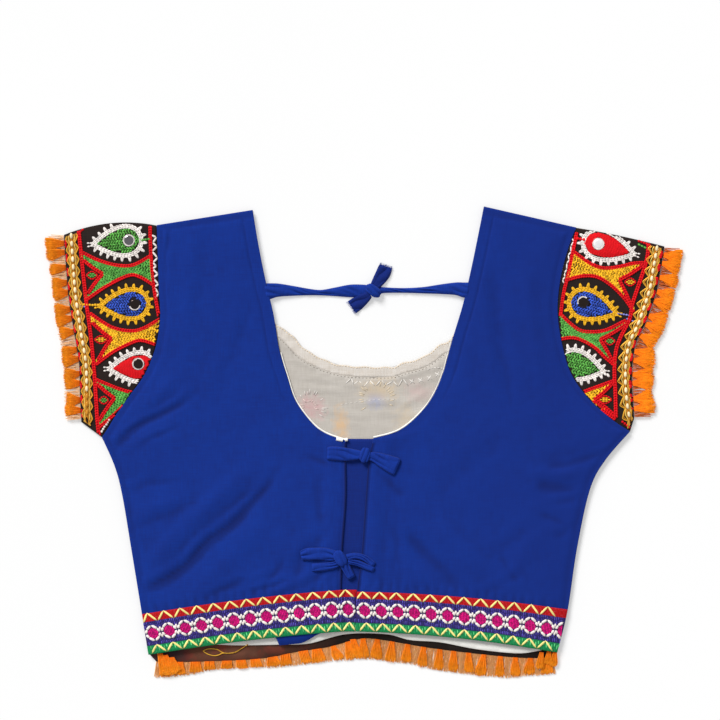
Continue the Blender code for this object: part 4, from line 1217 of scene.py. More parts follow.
class Band:
    """A run of ribbon that is read by the distance along it and down from its top edge."""

    def __init__(self, grid):
        self.grid = grid
        self.run = run_along(grid[len(grid) // 2])
        self.length = self.run[-1]

    def at(self, along, down):
        """The flat place at a distance along the ribbon and down it."""
        rows = len(self.grid) - 1
        column = float(np.interp(along, self.run, np.arange(len(self.run))))
        row = down / RIBBON_WIDTH * rows
        r = min(max(int(row), 0), rows - 1)
        c = min(int(column), len(self.run) - 2)
        s, t = row - r, column - c
        near = self.grid[r, c] * (1 - t) + self.grid[r, c + 1] * t
        far = self.grid[r + 1, c] * (1 - t) + self.grid[r + 1, c + 1] * t
        return (near * (1 - s) + far * s)[:2]


def make_ribbon(name, grid, band, material):
    """The ribbon's cloth. Its own places run along it and down from its top."""
    places = np.empty((*grid.shape[:2], 2))
    places[..., 0] = band.run[None, :]
    places[..., 1] = np.linspace(0, RIBBON_WIDTH, len(grid))[:, None]
    top = grid + np.array([0, 0, THIN_SOLID_WALL])
    top[..., 2] += 0.10 * np.sin(places[..., 0] * 2 * math.pi / 23) * np.sin(places[..., 1] / 9)
    return cloth_wall(name, top, THIN_CLOTH, material, places)


def ribbon_repeat(stitches, band, pitch, along):
    """One repeat of the ribbon's raised threads, round the middle of its oval."""

    def float_over(u, v, end_u, end_v, width, colour, high, fade):
        ends = ((along + u, v), (along + end_u, end_v))
        if min(ends)[0] > 0.2 and max(ends)[0] < band.length - 0.2:
            places = [band.at(u + (v - HEXAGON_MIDDLE) * RIBBON_SKEW, v) for u, v in ends]
            stitches.between(*places, width, colour, high=high, fade=fade)

    half = pitch / 2
    for top, bottom in (ZIGZAG_TOP, ZIGZAG_BOTTOM):
        for hand in (-1, 1):
            float_over(0, top + 0.4, hand * (half - 0.4), bottom, 2.1, "pale_gold", 1.1, 0.08)
    for v, drop in ((HEXAGON_TOP, 1), (HEXAGON_BOTTOM, -1)):
        for hand in (-1, 1):
            float_over(hand * 0.3, v, hand * 4.9, v + drop * 3.3, 2.6, "white", 1.5, 0.04)
    for way in (-1, 1):
        near, far = HEXAGON_MIDDLE + way * 0.5, HEXAGON_MIDDLE + way * 3.7
        for hand in (-1, 1):
            float_over(half + hand * 0.7, near, half + hand * 2.6, far, 2.6, "white", 1.5, 0.04)
        upright = HEXAGON_MIDDLE + way * 3.4
        float_over(half, upright - 1.5, half, upright + 1.5, 2.0, "white", 1.3, 0.04)
    for k in range(-4, 5):
        reach = 4.5 * math.sqrt(1 - (k / 4.9) ** 2)
        for n in range(-3, 4):
            if abs(n * 1.3) < reach:
                v = HEXAGON_MIDDLE + k * 1.0 + 0.3 * (n % 2)
                float_over(n * 1.3 - 0.6, v, n * 1.3 + 0.6, v, 1.15, "magenta", 0.7, 0.34)
    for k in range(9):
        u = (k - 4) * pitch / 9
        ring = 0.72 * max(abs(u) - 0.6, 0.0) + 0.3 * math.sin(1.7 * (along + k))
        for edge, tip in ((6.6, HEXAGON_TOP + ring - 0.9), (27.4, HEXAGON_BOTTOM - ring + 0.9)):
            middle = (edge + tip) / 2
            for start, end in ((edge, middle), (middle, tip)):
                if abs(tip - edge) > 1.2:
                    float_over(u, start, u, end, 1.0, "indigo", 0.5, 0.6)
    for k in range(6):
        u = (k - 2.5) * pitch / 6
        float_over(u, 28.2 + k % 2, u, 31.2 + 2 * (k % 2), 1.1, "bright_green", 0.45, 0.4)


class Sleeve:
    """A flat tube between an armhole curve and a cuff curve, read by shares round and along."""

    def __init__(self, side, yoke):
        self.side = side
        self.hand = -1 if side == "left" else 1
        self.bow = TOP_BOWS[side]
        self.drops = DROPS[side]
        self.armhole = even_path([(s.outer_x, s.outer_y) for s in yoke], EDGE_STEPS + 1)
        self.cuff = even_path(CUFFS[side], EDGE_STEPS + 1)

    def place(self, s, t):
        """Places at shares s round from the shoulder fold and t out from the armhole."""
        at = np.asarray(s) * EDGE_STEPS
        steps = np.arange(EDGE_STEPS + 1)
        near, far = (np.stack([np.interp(at, steps, values) for values in line.T], axis=-1)
                     for line in (self.armhole, self.cuff))
        near[..., 0] += self.hand * ARMHOLE_GAP
        point = near + (far - near) * t
        point[..., 1] += self.bow * 4 * t * (1 - t) * (1 - np.asarray(s)) ** 4
        return point

    def plain_top(self, s, t):
        """The height of the upper layer without its padded drops."""
        round_off = smooth(s / 0.06) * smooth((1 - s) / 0.06)
        loft = SLEEVE_LOFT * math.sin(math.pi * min(t * 1.08, 1.0)) + CUFF_LOFT * t
        return SLEEVE_TOP + loft * round_off

    def drop_rise(self, places):
        """How far the padded drops stand out at each place."""
        rise = np.zeros(places.shape[:-1])
        for drop in self.drops:
            end = np.array([drop.end_x, drop.end_y])
            run = np.array([drop.tip_x, drop.tip_y]) - end
            away = places - end
            along = np.clip(away @ run / (run @ run), 1e-6, 1 - 1e-6)
            off = np.abs(away[..., 0] * run[1] - away[..., 1] * run[0]) / math.sqrt(run @ run)
            inside = (along > 2e-6) & (along < 1 - 2e-6)
            steep = smooth(1.6 * (1 - off / np.maximum(drop_half(along), 1e-6)))
            rise = np.maximum(rise, DROP_RISE * steep * inside)
        return rise

    def cloth(self, material):
        """The sleeve's cloth, a thin flat tube open at both ends."""
        more = [0.002, 0.005, 0.015, 0.985, 0.995, 0.998]
        rounds = np.unique(np.concatenate([np.linspace(0, 1, 101), more]))
        edge = np.minimum(rounds, 1 - rounds)
        full = smooth(0.5 + edge / 0.03)
        full[edge == 0] = 0.0
        middle = (LINING_BASE + SOLID_WALL) / 2
        outside = [(k / (OUTER_RINGS - 1), 0.0) for k in range(OUTER_RINGS)]
        inside = [(k / (INNER_RINGS - 1), CLOTH) for k in range(INNER_RINGS)]
        rings = []
        for t, thin in outside + inside:
            inset = thin / SLEEVE_GIRTH
            places = self.place(inset + rounds * (1 - 2 * inset), t)
            high = self.plain_top(rounds, t)
            if thin == 0:
                high += self.drop_rise(places) + 0.13 * wandering(places, 9, 12.5) * smooth(edge / 0.1)
            upper = middle + (high - thin - middle) * full
            lower = middle * (1 - full) + thin * np.minimum(full, edge > 0)
            ring = [np.column_stack([places, upper]), np.column_stack([places, lower])[::-1][1:-1]]
            rings.append(np.concatenate(ring))
        verts = np.concatenate(rings)
        loops = np.arange(len(verts)).reshape(len(rings), -1)
        cuff, last = OUTER_RINGS - 1, len(rings) - 1
        joined = [(r, r + 1) for r in range(last) if r != cuff] + [(0, cuff + 1), (cuff, last)]
        faces = [face for a, b in joined for face in hoop(loops[a], loops[b])]
        return mesh_piece(f"sleeve_{self.side}_cloth", verts, faces, material, verts[:, :2])


def drop_half(share):
    """Half the width of a drop at a share of its length from the round end."""
    return 2.6 * DROP_HALF_WIDTH * np.sqrt(share) * (1 - share)


def drop_frame(drop):
    """The round end of a drop, the unit way to its tip, the unit way across, and its length."""
    end = np.array([drop.end_x, drop.end_y], float)
    run = np.array([drop.tip_x, drop.tip_y]) - end
    length = float(np.hypot(*run))
    return end, run / length, left_of(run / length), length


def drop_outline(drop, grow, count=160):
    """A closed outline round a drop, moved outwards, that starts and ends at its tip."""
    end, way, side, length = drop_frame(drop)
    turn = np.linspace(0, 2 * math.pi, count)
    along = 0.5 + 0.5 * np.cos(turn)
    half = drop_half(along) * np.sign(np.sin(turn))
    path = end + way * (along * length)[:, None] + side * half[:, None]
    path = path - sideways(path) * grow
    path[0] = path[-1] = end + way * (length + 1.7 * grow)
    return path


def sew_drop(stitches, drop):
    """A drop: its filling in rows along it, its border and the short rays round it."""
    end, way, side, length = drop_frame(drop)
    turn = math.atan2(way[1], way[0])
    satin = drop.colour == "red"
    spacing, advance, size, fade = (1.0, 2.2, (4.2, 1.6), 0.03) if satin else (2.3, 2.3, (4.0, 1.65), 0.42)
    for k in range(-11, 12):
        along = stitches.draw.uniform(0.4, 1.8)
        while along < length:
            middle = end + way * along + side * k * spacing
            clear = drop.mirror_x is None or math.dist(middle, (drop.mirror_x, drop.mirror_y)) > MIRROR_ROOM
            if clear and abs(k * spacing) < drop_half(along / length) - 1.1:
                lean = 0.0 if satin else 0.8 * (-1) ** k + stitches.draw.uniform(-0.3, 0.3)
                stitches.lay(middle, turn + lean, *size, drop.colour, fade=fade)
            along += advance
    for reach in (0.8, 2.4):
        stitches.chain(drop_outline(drop, reach), 2.5, drop.border, 2.6, lift=0.1, fade=0.22)
    rays = even_path(drop_outline(drop, 2.8), 20)
    for root, out in list(zip(rays, -sideways(rays)))[1:19]:
        reach = stitches.draw.uniform(3.6, 4.8)
        for hand in (-1, 1):
            tilt = left_of(out) * hand
            stitches.between(root + tilt * 0.95, root + tilt * 0.2 + out * reach, 1.55, drop.border)
    tip = end + way * (length + 3)
    for hand in (-1, 1):
        stitches.row(np.array([tip + side * hand, tip + way * 5 + side * hand * 1.6]), 2.6, 1.6, drop.border)


def sew_tail(stitches, tail):
    """A tail-shaped field in rows between its arcs, with its notch, leaf and red lines."""
    upper = even_path(tail.upper, 41)
    lower = even_path(tail.lower, 41)
    notch = np.array(tail.notch)
    hand = 1 if notch[0][0] < 0 else -1
    order = np.argsort(notch[:, 1])
    gap = lengths(upper - lower)
    rows = int(gap.max() / 2.3)
    for k in range(rows):
        share = np.clip((1.2 + (gap - 2.4) * (k + 0.5) / rows) / gap, 0, 1)[:, None]
        path = upper * (1 - share) + lower * share
        count = int(path_length(path) / 2.3)
        even = even_path(path, count)
        for n in range(count - 1):
            middle = (even[n] + even[n + 1]) / 2
            room = np.interp(n / count * 40, np.arange(41), gap) / rows
            step = 1 if room > 1.05 else 2 if room > 0.6 else 3
            if k % step:
                continue
            border = np.interp(middle[1], notch[order, 1], notch[order, 0])
            inside = notch[:, 1].min() < middle[1] < notch[:, 1].max()
            if inside and hand * (middle[0] - border) < 1.6:
                continue
            ahead = even[n + 1] - even[n]
            lean = 0.8 * (-1) ** (k // step) + stitches.draw.uniform(-0.3, 0.3)
            stitches.lay(middle, math.atan2(ahead[1], ahead[0]) + lean, 4.0, 1.65, tail.colour, fade=0.42)
    for path in (upper, lower):
        stitches.chain(path, 3.2, "red", 2.2, lift=0.2, fade=0.14)
    for start, end, bend in ((notch[0], notch[1], -0.8), (notch[1], notch[2], 0.8)):
        arm = even_path([start, (start + end) / 2 + [0, bend], end], 20)
        stitches.chain(arm, 3.4, "red", 2.2, lift=0.2, fade=0.1)
    sew_leaf(stitches, tail)


def sew_leaf(stitches, tail):
    """The small leaf in a tail's notch."""
    left, right, level = tail.leaf
    shares = np.linspace(0, 1, 12)
    x = left + (right - left) * shares
    for hand in (-1, 1):
        edge = np.column_stack([x, level + hand * 3.4 * np.sin(math.pi * shares)])
        stitches.row(edge, 2.2, 1.6, "red", fade=0.1)
    for row in (-1, 0, 1):
        reach = slice(3, -3) if row else slice(1, -1)
        inner = np.column_stack([x[reach], np.full(len(x[reach]), level + row * 1.3)])
        stitches.row(inner, 2.3, 1.5, tail.colour, fade=0.22)


def embroider(sleeve, ground, material):
    """All stitches of one sleeve."""
    side = sleeve.side
    stitches = Stitches(ground, 11 if side == "left" else 12)
    for drop in sleeve.drops:
        sew_drop(stitches, drop)
    for tail in TAILS[side]:
        sew_tail(stitches, tail)
    for line, width, count in ((CUFF_LINES, 3.5, 60), (ARMHOLE_LINES, 3.2, 40)):
        stitches.chain(even_path(line[side], count), width, "red", 2.2, lift=0.2, fade=0.1)
    reach, width = (1.9, 2.0) if side == "left" else (0.8, 1.5)
    stitches.zigzag(even_path(ZIGZAG_STRIPS[side], 60), reach, 6.8, width, "white")
    for start, end, colour, width in EXTRA_STITCHES[side]:
        stitches.row(np.array([start, end], float), 2.6, width, colour)
    edge_knots(stitches, sleeve)
    return stitches.make(f"sleeve_{side}_embroidery", material)


def edge_knots(stitches, sleeve):
    """The red loops on the cuff's black edge, between the fringe's locks."""
    long, inward = (4.6, 2.1) if sleeve.side == "right" else (2.6, 1.2)
    for k in range(13):
        s = 0.05 + 0.9 * k / 12
        for n in range(-2, 3):
            middle = braid_lane(sleeve, stitches.ground, inward, s + 0.0085 * n, 0)[:2]
            stitches.lay(middle, 0.12 * n, long - 0.5 * abs(n), 2.0, "red", lift=0.2, fade=0.2)


def braid_lane(sleeve, ground, inward, s, lift):
    """A point over the cuff, the given distance in from its edge."""
    width = float(np.linalg.norm(sleeve.place(s, 1.0) - sleeve.place(s, 0.0)))
    place = sleeve.place(s, 1 - min(max(inward, 0.3) / width, 0.9))
    return (*place, ground.height(*place, missing=SLEEVE_TOP) + lift)


def make_braid(sleeve, ground, material):
    """The gold braid: two cords that cross in a chain of eyes, with looped edges beside them."""
    left = sleeve.side == "left"
    strands = Strands(21 if left else 22)
    length = path_length(sleeve.cuff)
    steps = int(length / 0.6)
    shares = 0.015 + 0.97 * np.arange(steps + 1) / steps
    for phase in (0, math.pi):
        path = []
        for s in shares:
            turn = math.pi * s * length / BRAID_EYE + phase
            inward = BRAID_MIDDLE + 1.9 * math.sin(turn)
            path.append(braid_lane(sleeve, ground, inward, s, 0.9 + 0.3 * math.cos(turn)))
        strands.add(path, 0.52, THREADS["gold"])
    rims = ((1, 2.9, 9.3), (-1, 2.7, 9.3)) if left else ((1, 4.9, 9.2), (-1, 1.6, 9.2))
    cords = ((1.5, 0.0, "gold"), (1.7, 0.34, "bright_gold"), (1.9, 0.8, "gold"), (2.4, 1.0, "loop_gold"))
    for hand, swing, pitch in rims:
        for base, share, tone in cords:
            path = []
            for s in shares:
                wave = (1 - abs((s * length / pitch) % 1 * 2 - 1)) ** 0.85
                inward = BRAID_MIDDLE + hand * (base + swing * share * wave)
                path.append(braid_lane(sleeve, ground, inward, s, 0.8 - 0.2 * share))
            strands.add(path, 0.46, THREADS[tone])
    return strands.make(f"braid_{sleeve.side}_cords", material, 6)


def make_braid_knots(sleeve, ground, material):
    """The bright pearly knots in the eyes of the braid."""
    stitches = Stitches(ground, 31 if sleeve.side == "left" else 32)
    length = path_length(sleeve.cuff)
    count = int(length * 0.97 / BRAID_EYE)
    for k in range(count):
        s = (k + 0.5) * BRAID_EYE / length
        if not 0.015 < s < 0.985:
            continue
        place = np.array(braid_lane(sleeve, ground, BRAID_MIDDLE, s, 0)[:2])
        ahead = np.array(braid_lane(sleeve, ground, BRAID_MIDDLE, s + 0.01, 0)[:2]) - place
        turn = math.atan2(ahead[1], ahead[0])
        worn = sleeve.side == "left" and k > count - 4
        stitches.lay(place, turn, 5.2, 2.7, "gold" if worn else "cream", lift=0.8, high=2.2, fade=0.1)
    return stitches.make(f"braid_{sleeve.side}_knots", material, 10, 7)


def make_mirror(name, drop, ground, glass, stitches, painted_highlight_middle):
    """A small round mirror, and the ring of thread that holds it, pale all round or dark with a pale arc of
    painted highlight on one side.
    """
    x, y = drop.mirror_x, drop.mirror_y
    reach = MIRROR_RADIUS - 0.4
    turns = [math.pi * k / 6 for k in range(12)]
    base = max(ground.height(x + reach * math.cos(a), y + reach * math.sin(a)) for a in turns) + 0.12
    rounding = ((0, 0), (0.05, 0.35), (-0.25, 0.62))
    profile = [(0, 0), *((MIRROR_RADIUS + out, up) for out, up in rounding), (2.4, 0.72), (0, 0.74)]
    work = bmesh.new()
    corners = [work.verts.new(((x + r) * MM, y * MM, (base + z) * MM)) for r, z in profile]
    edges = [work.edges.new(pair) for pair in zip(corners, corners[1:])]
    bmesh.ops.spin(work, geom=corners + edges, cent=(x * MM, y * MM, 0), axis=(0, 0, 1),
                   angle=2 * math.pi, steps=40)
    bmesh.ops.remove_doubles(work, verts=work.verts, dist=1e-6)
    bmesh.ops.recalc_face_normals(work, faces=work.faces)
    mesh = bpy.data.meshes.new(name)
    work.to_mesh(mesh)
    work.free()
    mesh.shade_smooth()
    mesh.set_sharp_from_angle(angle=math.radians(40))
    mesh.materials.append(glass)
    for k in range(26):
        turn = 2 * math.pi * k / 26
        spot = (x + RING_RADIUS * math.cos(turn), y + RING_RADIUS * math.sin(turn))
        # Painted highlight: round a dark mirror in a drop that is not red, the ring is dark thread with a
        # pale arc on one side; other rings are pale all round.
        pale = drop.glass != "dark" or drop.colour == "red" or math.cos(turn - painted_highlight_middle) > 0.2
        width, tone = (1.1, "white") if pale else (0.9, "dusk")
        stitches.lay(spot, turn, 1.7, width, tone, lift=0.55, fade=0.1)
    return put(name, mesh)


def dimmed(tone, share):
    """A colour at a share of its strength."""
    return [c * share for c in tone[:3]] + [1.0]


def lock_strands(strands, root, way, side, shape, count):
    """A lock of loose floss that leaves its root in a narrow bunch and spreads as it goes."""
    root_half, tip_half, reach, base, high = shape
    draw = strands.draw.uniform

    def spread(share):
        return root_half + (tip_half - root_half) * smooth(share * 1.15)

    for fan in np.linspace(-0.84, 0.84, 9):
        path = [(*(root + way * reach * share + side * fan * spread(share)), base + 0.64)
                for share in (0, 0.3, 0.6, 0.88)]
        strands.add(path, [0.5, 0.62, 0.62, 0.2], dimmed(ORANGE_ROOT, draw(0.92, 1.0)), ORANGE)
    for k in range(count):
        fan = (k % 7 - 3) / 3.4 + draw(-0.13, 0.13)
        layer = draw(0, 1)
        length = reach * draw(0.86, 1.0) * (1 - 0.07 * fan * fan)
        drift = draw(-0.8, 0.8)
        path = []
        for share in (0, 0.18, 0.45, 0.75, 1.0):
            flat = root + way * length * share + side * (fan * spread(share) + drift * share * share)
            thick = high * (0.5 + 0.5 * math.sin(math.pi * min(share * 1.1 + 0.15, 1.0)))
            path.append((*flat, base + 0.25 + layer * thick))
        # A random tone for each strand; above 1 it is painted light that lifts the floss past its own colour,
        # against the shade among the strands.
        dark = draw(0.94, 1.1)
        strands.add(path, [0.32, 0.34, 0.34, 0.28, 0.16], dimmed(ORANGE_ROOT, dark), dimmed(ORANGE, dark))


def edge_frame(path, outward):
    """Points along an edge, and the unit ways out of the cloth and along the edge at each."""
    edge = even_path(path, EDGE_STEPS + 1)
    out = sideways(edge)
    along = np.gradient(edge, axis=0)
    return edge, out * (1 if out[EDGE_STEPS // 2] @ outward > 0 else -1), along / lengths(along)[:, None]


def make_cuff_fringe(sleeve, name, base, high, material, seed, count):
    """The orange fringe of a cuff, in separate locks with thin gauze threads between them."""
    strands = Strands(seed)
    right = sleeve.side == "right"
    edge, out, along = edge_frame(sleeve.cuff[3:-3] if right else sleeve.cuff[2:-6], (sleeve.hand, 0))
    places = random.Random(6)
    for k in range(CUFF_LOCKS):
        at = int(EDGE_STEPS / CUFF_LOCKS * (k + 0.5) + places.uniform(-6, 6))
        longer = 2.6 * smooth((at - 150) / 150) if right else -2.8 * smooth((at - 40) / 40)
        reach = 16.6 + longer + places.uniform(-1.4, 1.2)
        root_half, tip_half = (1.9, 6.6) if right else (2.2, 5.4)
        tip_half += places.uniform(-1.4, 0.8)
        way = out[at] + along[at] * places.uniform(-0.14, 0.14)
        shape = (root_half, tip_half, reach, base, high)
        lock_strands(strands, edge[at] + out[at] * 0.3, way, along[at], shape, count)
    threads = CUFF_LOCKS * 20
    for k in range(threads):
        at = int(EDGE_STEPS * (k + 0.5) / threads)
        reach = (15 if right else 13) + strands.draw.uniform(-3, 1)
        slip = along[at] * strands.draw.uniform(-2, 2)
        path = level_path(edge[at] + out[at] * 0.4, out[at], reach, slip, (0, 0.5, 1), base + 0.3)
        strands.add(path, 0.3, CUFF_GAUZE[sleeve.side])
    return strands.make(name, material, 3)


# Locks in each row of fringe, and the tones of the gauze threads between them.
CUFF_LOCKS = 14
HEM_LOCKS = 13
CUFF_GAUZE = {"left": srgb(252, 204, 156), "right": srgb(206, 100, 48)}
HEM_GAUZE = (srgb(224, 150, 88), srgb(238, 178, 120))

# The hem tassels' length from left to right: places across and lengths.
HEM_REACH = (
    (-180, -157, -145, -132, -106, -93, -80, -54, -28, -15, 0, 23, 50, 62, 100, 126, 140, 164),
    (14.5, 13, 11, 8, 7.4, 7.8, 9.6, 12.4, 13, 16.6, 18.6, 18, 16.8, 18.6, 19, 18.6, 16, 15),
)

# Fuller tassels that stand apart at both ends of the hem: root, length and half width.
HEM_PUFFS = (
    (-174.5, -180.6, 19.4, 4.2), (-170, -182, 18, 5.0), (-164.5, -184, 13, 4.6), (153.5, -179.6, 15, 3.2),
    (160, -178.4, 12, 3.0), (165, -179, 13.4, 3.0), (-8.6, -168.6, 17, 3.4),
)


def make_hem_fringe(name, path, material, seed):
    """Half of the tassel row under the front hem, with its gauze threads."""
    strands = Strands(seed)
    draw = strands.draw.uniform
    edge, down, along = edge_frame(path, (0, -1))
    middle = EDGE_STEPS // 2
    for k in range(HEM_LOCKS):
        at = int(EDGE_STEPS * (k + 0.5) / HEM_LOCKS + draw(-3, 3))
        reach = np.interp(edge[at][0], *HEM_REACH) + draw(-1.4, 1.2)
        way = down[at] + along[at] * draw(-0.12, 0.2)
        root = edge[at] + down[at] * 0.3
        half, root_half = draw(3.4, 5.0), 1.9
        if root[0] < -30:
            half, root_half = half + 0.9, 4.0
        lock_strands(strands, root, way, along[at], (root_half, half, reach, 0.5, 1.2), 76)
    for x, y, reach, half in HEM_PUFFS:
        if (x < 0) == (edge[middle][0] < 0):
            root_half, lean = (2.2, 0.22) if x < 0 else (1.6, 0.0)
            shape = (root_half, half, reach, 1.7 if abs(x) > 100 else 0.6, 1.2)
            way = down[middle] + np.array([lean, 0.0])
            lock_strands(strands, np.array([x, y]), way, along[middle], shape, 90)
    threads = HEM_LOCKS * 66
    for k in range(threads):
        at = int(EDGE_STEPS * (k + 0.5) / threads)
        reach = np.interp(edge[at][0], *HEM_REACH) - 1.2 + draw(-1.6, 1.0)
        slip = along[at] * draw(-2.6, 2.6)
        path = level_path(edge[at] + down[at] * 0.3, down[at], reach, slip, (0, 0.5, 1), 0.4)
        strands.add(path, 0.4, HEM_GAUZE[k % 2])
    return strands.make(name, material, 3)


def highest(ground, spots):
    """The height of the cloth's highest point under some places, and a gap above it."""
    return max(ground.height(x, y, missing=0.0) for x, y in spots) + GAP


def tie_line(stations, ground):
    """Points along a tie: their places, the width there and the height of the underside."""
    steps = (-BRIDGE, -BRIDGE / 2, 0, BRIDGE / 2, BRIDGE)
    table = []
    for x, y, width, base in stations:
        if base is None:
            base = highest(ground, [(x + dx, y + dy) for dx in steps for dy in steps[1:-1]])
        table.append((x, y, width, base))
    return even_path(table, TIE_RINGS)


def make_tie(name, stations, ground, material):
    """A soft strip of gathered cloth along its stations."""
    line = tie_line(stations, ground)
    side = sideways(line)
    run = np.linspace(0, path_length(line[:, :2]), TIE_RINGS)
    seed = sum(ord(letter) for letter in name) % 17
    pulled = name.startswith("neck_tie")
    twist, turns, wall, bulge = (0.21, 1.15, TIE_WALL * 1.15, 2.6) if pulled else (0.03, 1.3, TIE_WALL, 5.0)
    shares = np.linspace(-1, 1, 27)
    inner = shares[1:-1][::-1]
    crown = wall * np.maximum(1 - np.abs(shares) ** bulge, 0.0) ** 0.6
    verts, places = [], []
    for at, out, (x, y, width, base) in zip(run, side, line):
        to_end = min(at, run[-1] - at)
        half = width / 2 * (0.86 + 0.14 * math.sqrt(1 - (1 - min(to_end / 2.0, 1)) ** 2))
        spread = 0.75 + 0.3 * math.sin(at / 5.3 + 2 * seed)
        phase = shares * math.pi * turns * spread + twist * at + 0.9 * math.sin(at / 6 + seed) + seed
        deep = 0.42 + 0.3 * math.sin(at / 3.9 + seed)
        folds = 1 - deep * (1 - np.abs(np.cos(phase)) ** 0.8)
        top = base + 0.06 + crown * folds * (0.45 + 0.55 * smooth(to_end / 1.8))
        upper = np.column_stack([(x, y) + out * (half * shares)[:, None], top])
        lower = np.column_stack([(x, y) + out * (half * 0.98 * inner)[:, None], np.full(len(inner), base)])
        verts += [upper, lower]
        off = np.concatenate([half * shares, half * inner])
        places.append(np.column_stack([np.full(len(off), at), off]))
    verts = np.concatenate(verts)
    loops = np.arange(len(verts)).reshape(TIE_RINGS, -1)
    faces = [loops[0].tolist(), loops[-1][::-1].tolist()]
    for first, second in zip(loops, loops[1:]):
        faces += hoop(first, second)
    piece = mesh_piece(name + "_cloth", verts, faces, material, np.concatenate(places))
    hand_over(piece, "blue_cloth", *([] if name.endswith("_under") else [name]))
    under = "floor" if stations[0].base is not None else "back_left_cloth"
    if under != "floor" and line[:, 0].mean() > -8:
        under = "back_right_cloth"
    width = max(float(line[:, 2].max()) * TIE_FULLNESS * MM, 0.01)


def make_knot(name, knot, ground, material):
    """A knot of cloth, drawn tight, with the wraps of the band standing out on it."""
    base = knot.base
    if base is None:
        ways = [(math.cos(turn), math.sin(turn)) for turn in np.linspace(0, 6, 9)]
        base = highest(ground, [(knot.x + BRIDGE * x, knot.y + BRIDGE * y) for x, y in ways])
    around, levels = 72, 34
    along = np.array([math.cos(knot.wrap), math.sin(knot.wrap)])
    beside = left_of(along)
    verts, places = [(knot.x, knot.y, base)], [(0, 0)]
    for r in range(1, levels):
        tilt = math.pi * r / levels
        for k in range(around):
            turn = 2 * math.pi * k / around
            way = (math.cos(turn), math.sin(turn))
            u, v = (math.sin(tilt) ** 0.75 * math.copysign(abs(w) ** 0.8, w) for w in way)
            fold = abs(math.cos(1.05 * math.pi * (v + 0.22 * u + 0.16))) ** 0.6
            flat = along * (u * knot.half_along * (0.9 + 0.1 * fold)) + beside * (v * knot.half_across)
            rise = knot.half_z * (1 - math.cos(tilt)) * (0.8 + 0.2 * fold)
            verts.append((knot.x + flat[0], knot.y + flat[1], base + rise))
            places.append((u * 9, v * 9))
    verts.append((knot.x, knot.y, base + 2 * knot.half_z))
    places.append((0, 0))
    top = len(verts) - 1
    loops = np.arange(1, top).reshape(levels - 1, around)
    faces = [(0, n, k) for k, n in zip(loops[0].tolist(), np.roll(loops[0], -1).tolist())]
    faces += [(top, k, n) for k, n in zip(loops[-1].tolist(), np.roll(loops[-1], -1).tolist())]
    for first, second in zip(loops, loops[1:]):
        faces += hoop(first, second)
    piece = mesh_piece(name + "_cloth", verts, faces, material, np.array(places, float))
    hand_over(piece, "blue_cloth", name)


def fray(strands, stations):
    """Short loose yarns at the cut end of a tie."""
    end, before = np.array(stations[-1][:3], float), np.array(stations[-2][:3], float)
    way = (end - before)[:2]
    way /= np.hypot(*way)
    side = left_of(way)
    draw = strands.draw.uniform
    for _ in range(60):
        start = end[:2] - way * 1.5 + side * draw(-1, 1) * end[2] / 2
        reach, bend = draw(1.8, 3.4), draw(-0.5, 0.5)
        level = stations[-1].base + draw(0.2, 1.3)
        flat = [start + way * reach * share + side * bend * share * share for share in (0, 0.5, 1)]
        strands.add([(*place, level) for place in flat], 0.12, BLUE_CLOTH)


def neck_line(inset, wave=0.0, count=120):
    """The front's neckline, moved into the cloth, up to the shoulder ends of its edging."""
    path = even_path(FRONT_NECK, count)
    run = np.linspace(0, path_length(path), count)
    uneven = 1 + np.sin(2 * math.pi * run / EDGING_PITCH) * 0.7 + 0.3 * np.sin(run / 7.1)
    moved = path - sideways(path) * (inset - wave * uneven)[:, None]
    return moved[path[:, 1] <= EDGING_TOP]


def front_outline(left, right):
    """The front's outline, from the left shoulder's neck end round the hem and back."""
    rows = [left.rows[:1, 2:4], left.rows[:-1, 0:2], even_path(FRONT_HEM, 120), right.rows[:-1, 0:2][::-1]]
    rows += [right.rows[:1, 2:4], even_path(FRONT_NECK, 120)[1:-1][::-1]]
    return np.concatenate(rows)


def inset_edge(panel):
    """Places a little inside a panel's outer edge, below its shoulder seam."""
    rows = panel.rows[:-1]
    run = rows[:, 2:4] - rows[:, 0:2]
    length = lengths(run)
    points = rows[:, 0:2] + run / length[:, None] * LINING_INSET
    seam = rows[0, 0:2] + run[0] * (LINING_INSET / length)[:, None]
    return points[lengths(seam - points) >= LINING_INSET]


def lining_height(places):
    """The lining's upper face: flat under the back, and wrinkled across where the neck shows it."""
    top = LINING_BASE + THIN_SOLID_WALL
    x, y = places[:, 0], places[:, 1]
    reach = smooth((y - 8) / 14) * smooth((62 - np.abs(x - 4) * 0.75 - (60 - y) * 0.2) / 14)
    waves = relief(LINING_WRINKLES, places)
    waves += 0.16 * wandering(places * np.array([0.35, 1.0]), 4.2, 3.3)
    return top + reach * waves


def plain_height(level):
    """A flat upper face."""
    return lambda places: np.full(len(places), level)


def edging_height(places):
    """The neck edging's upper face, softly puckered."""
    return LINING_BASE + THIN_SOLID_WALL + 0.25 * wandering(places, 5.0, 6.1)


def lay_cloth(node, slot, outline, spacing, height, wall, material):
    """One flat layer, cut to its outline and laid on the one below."""
    piece = cut_sheet(f"{node}_cloth", outline, spacing, height, wall, material)
    hand_over(piece, slot, node)
    outline_area(outline)
    return piece


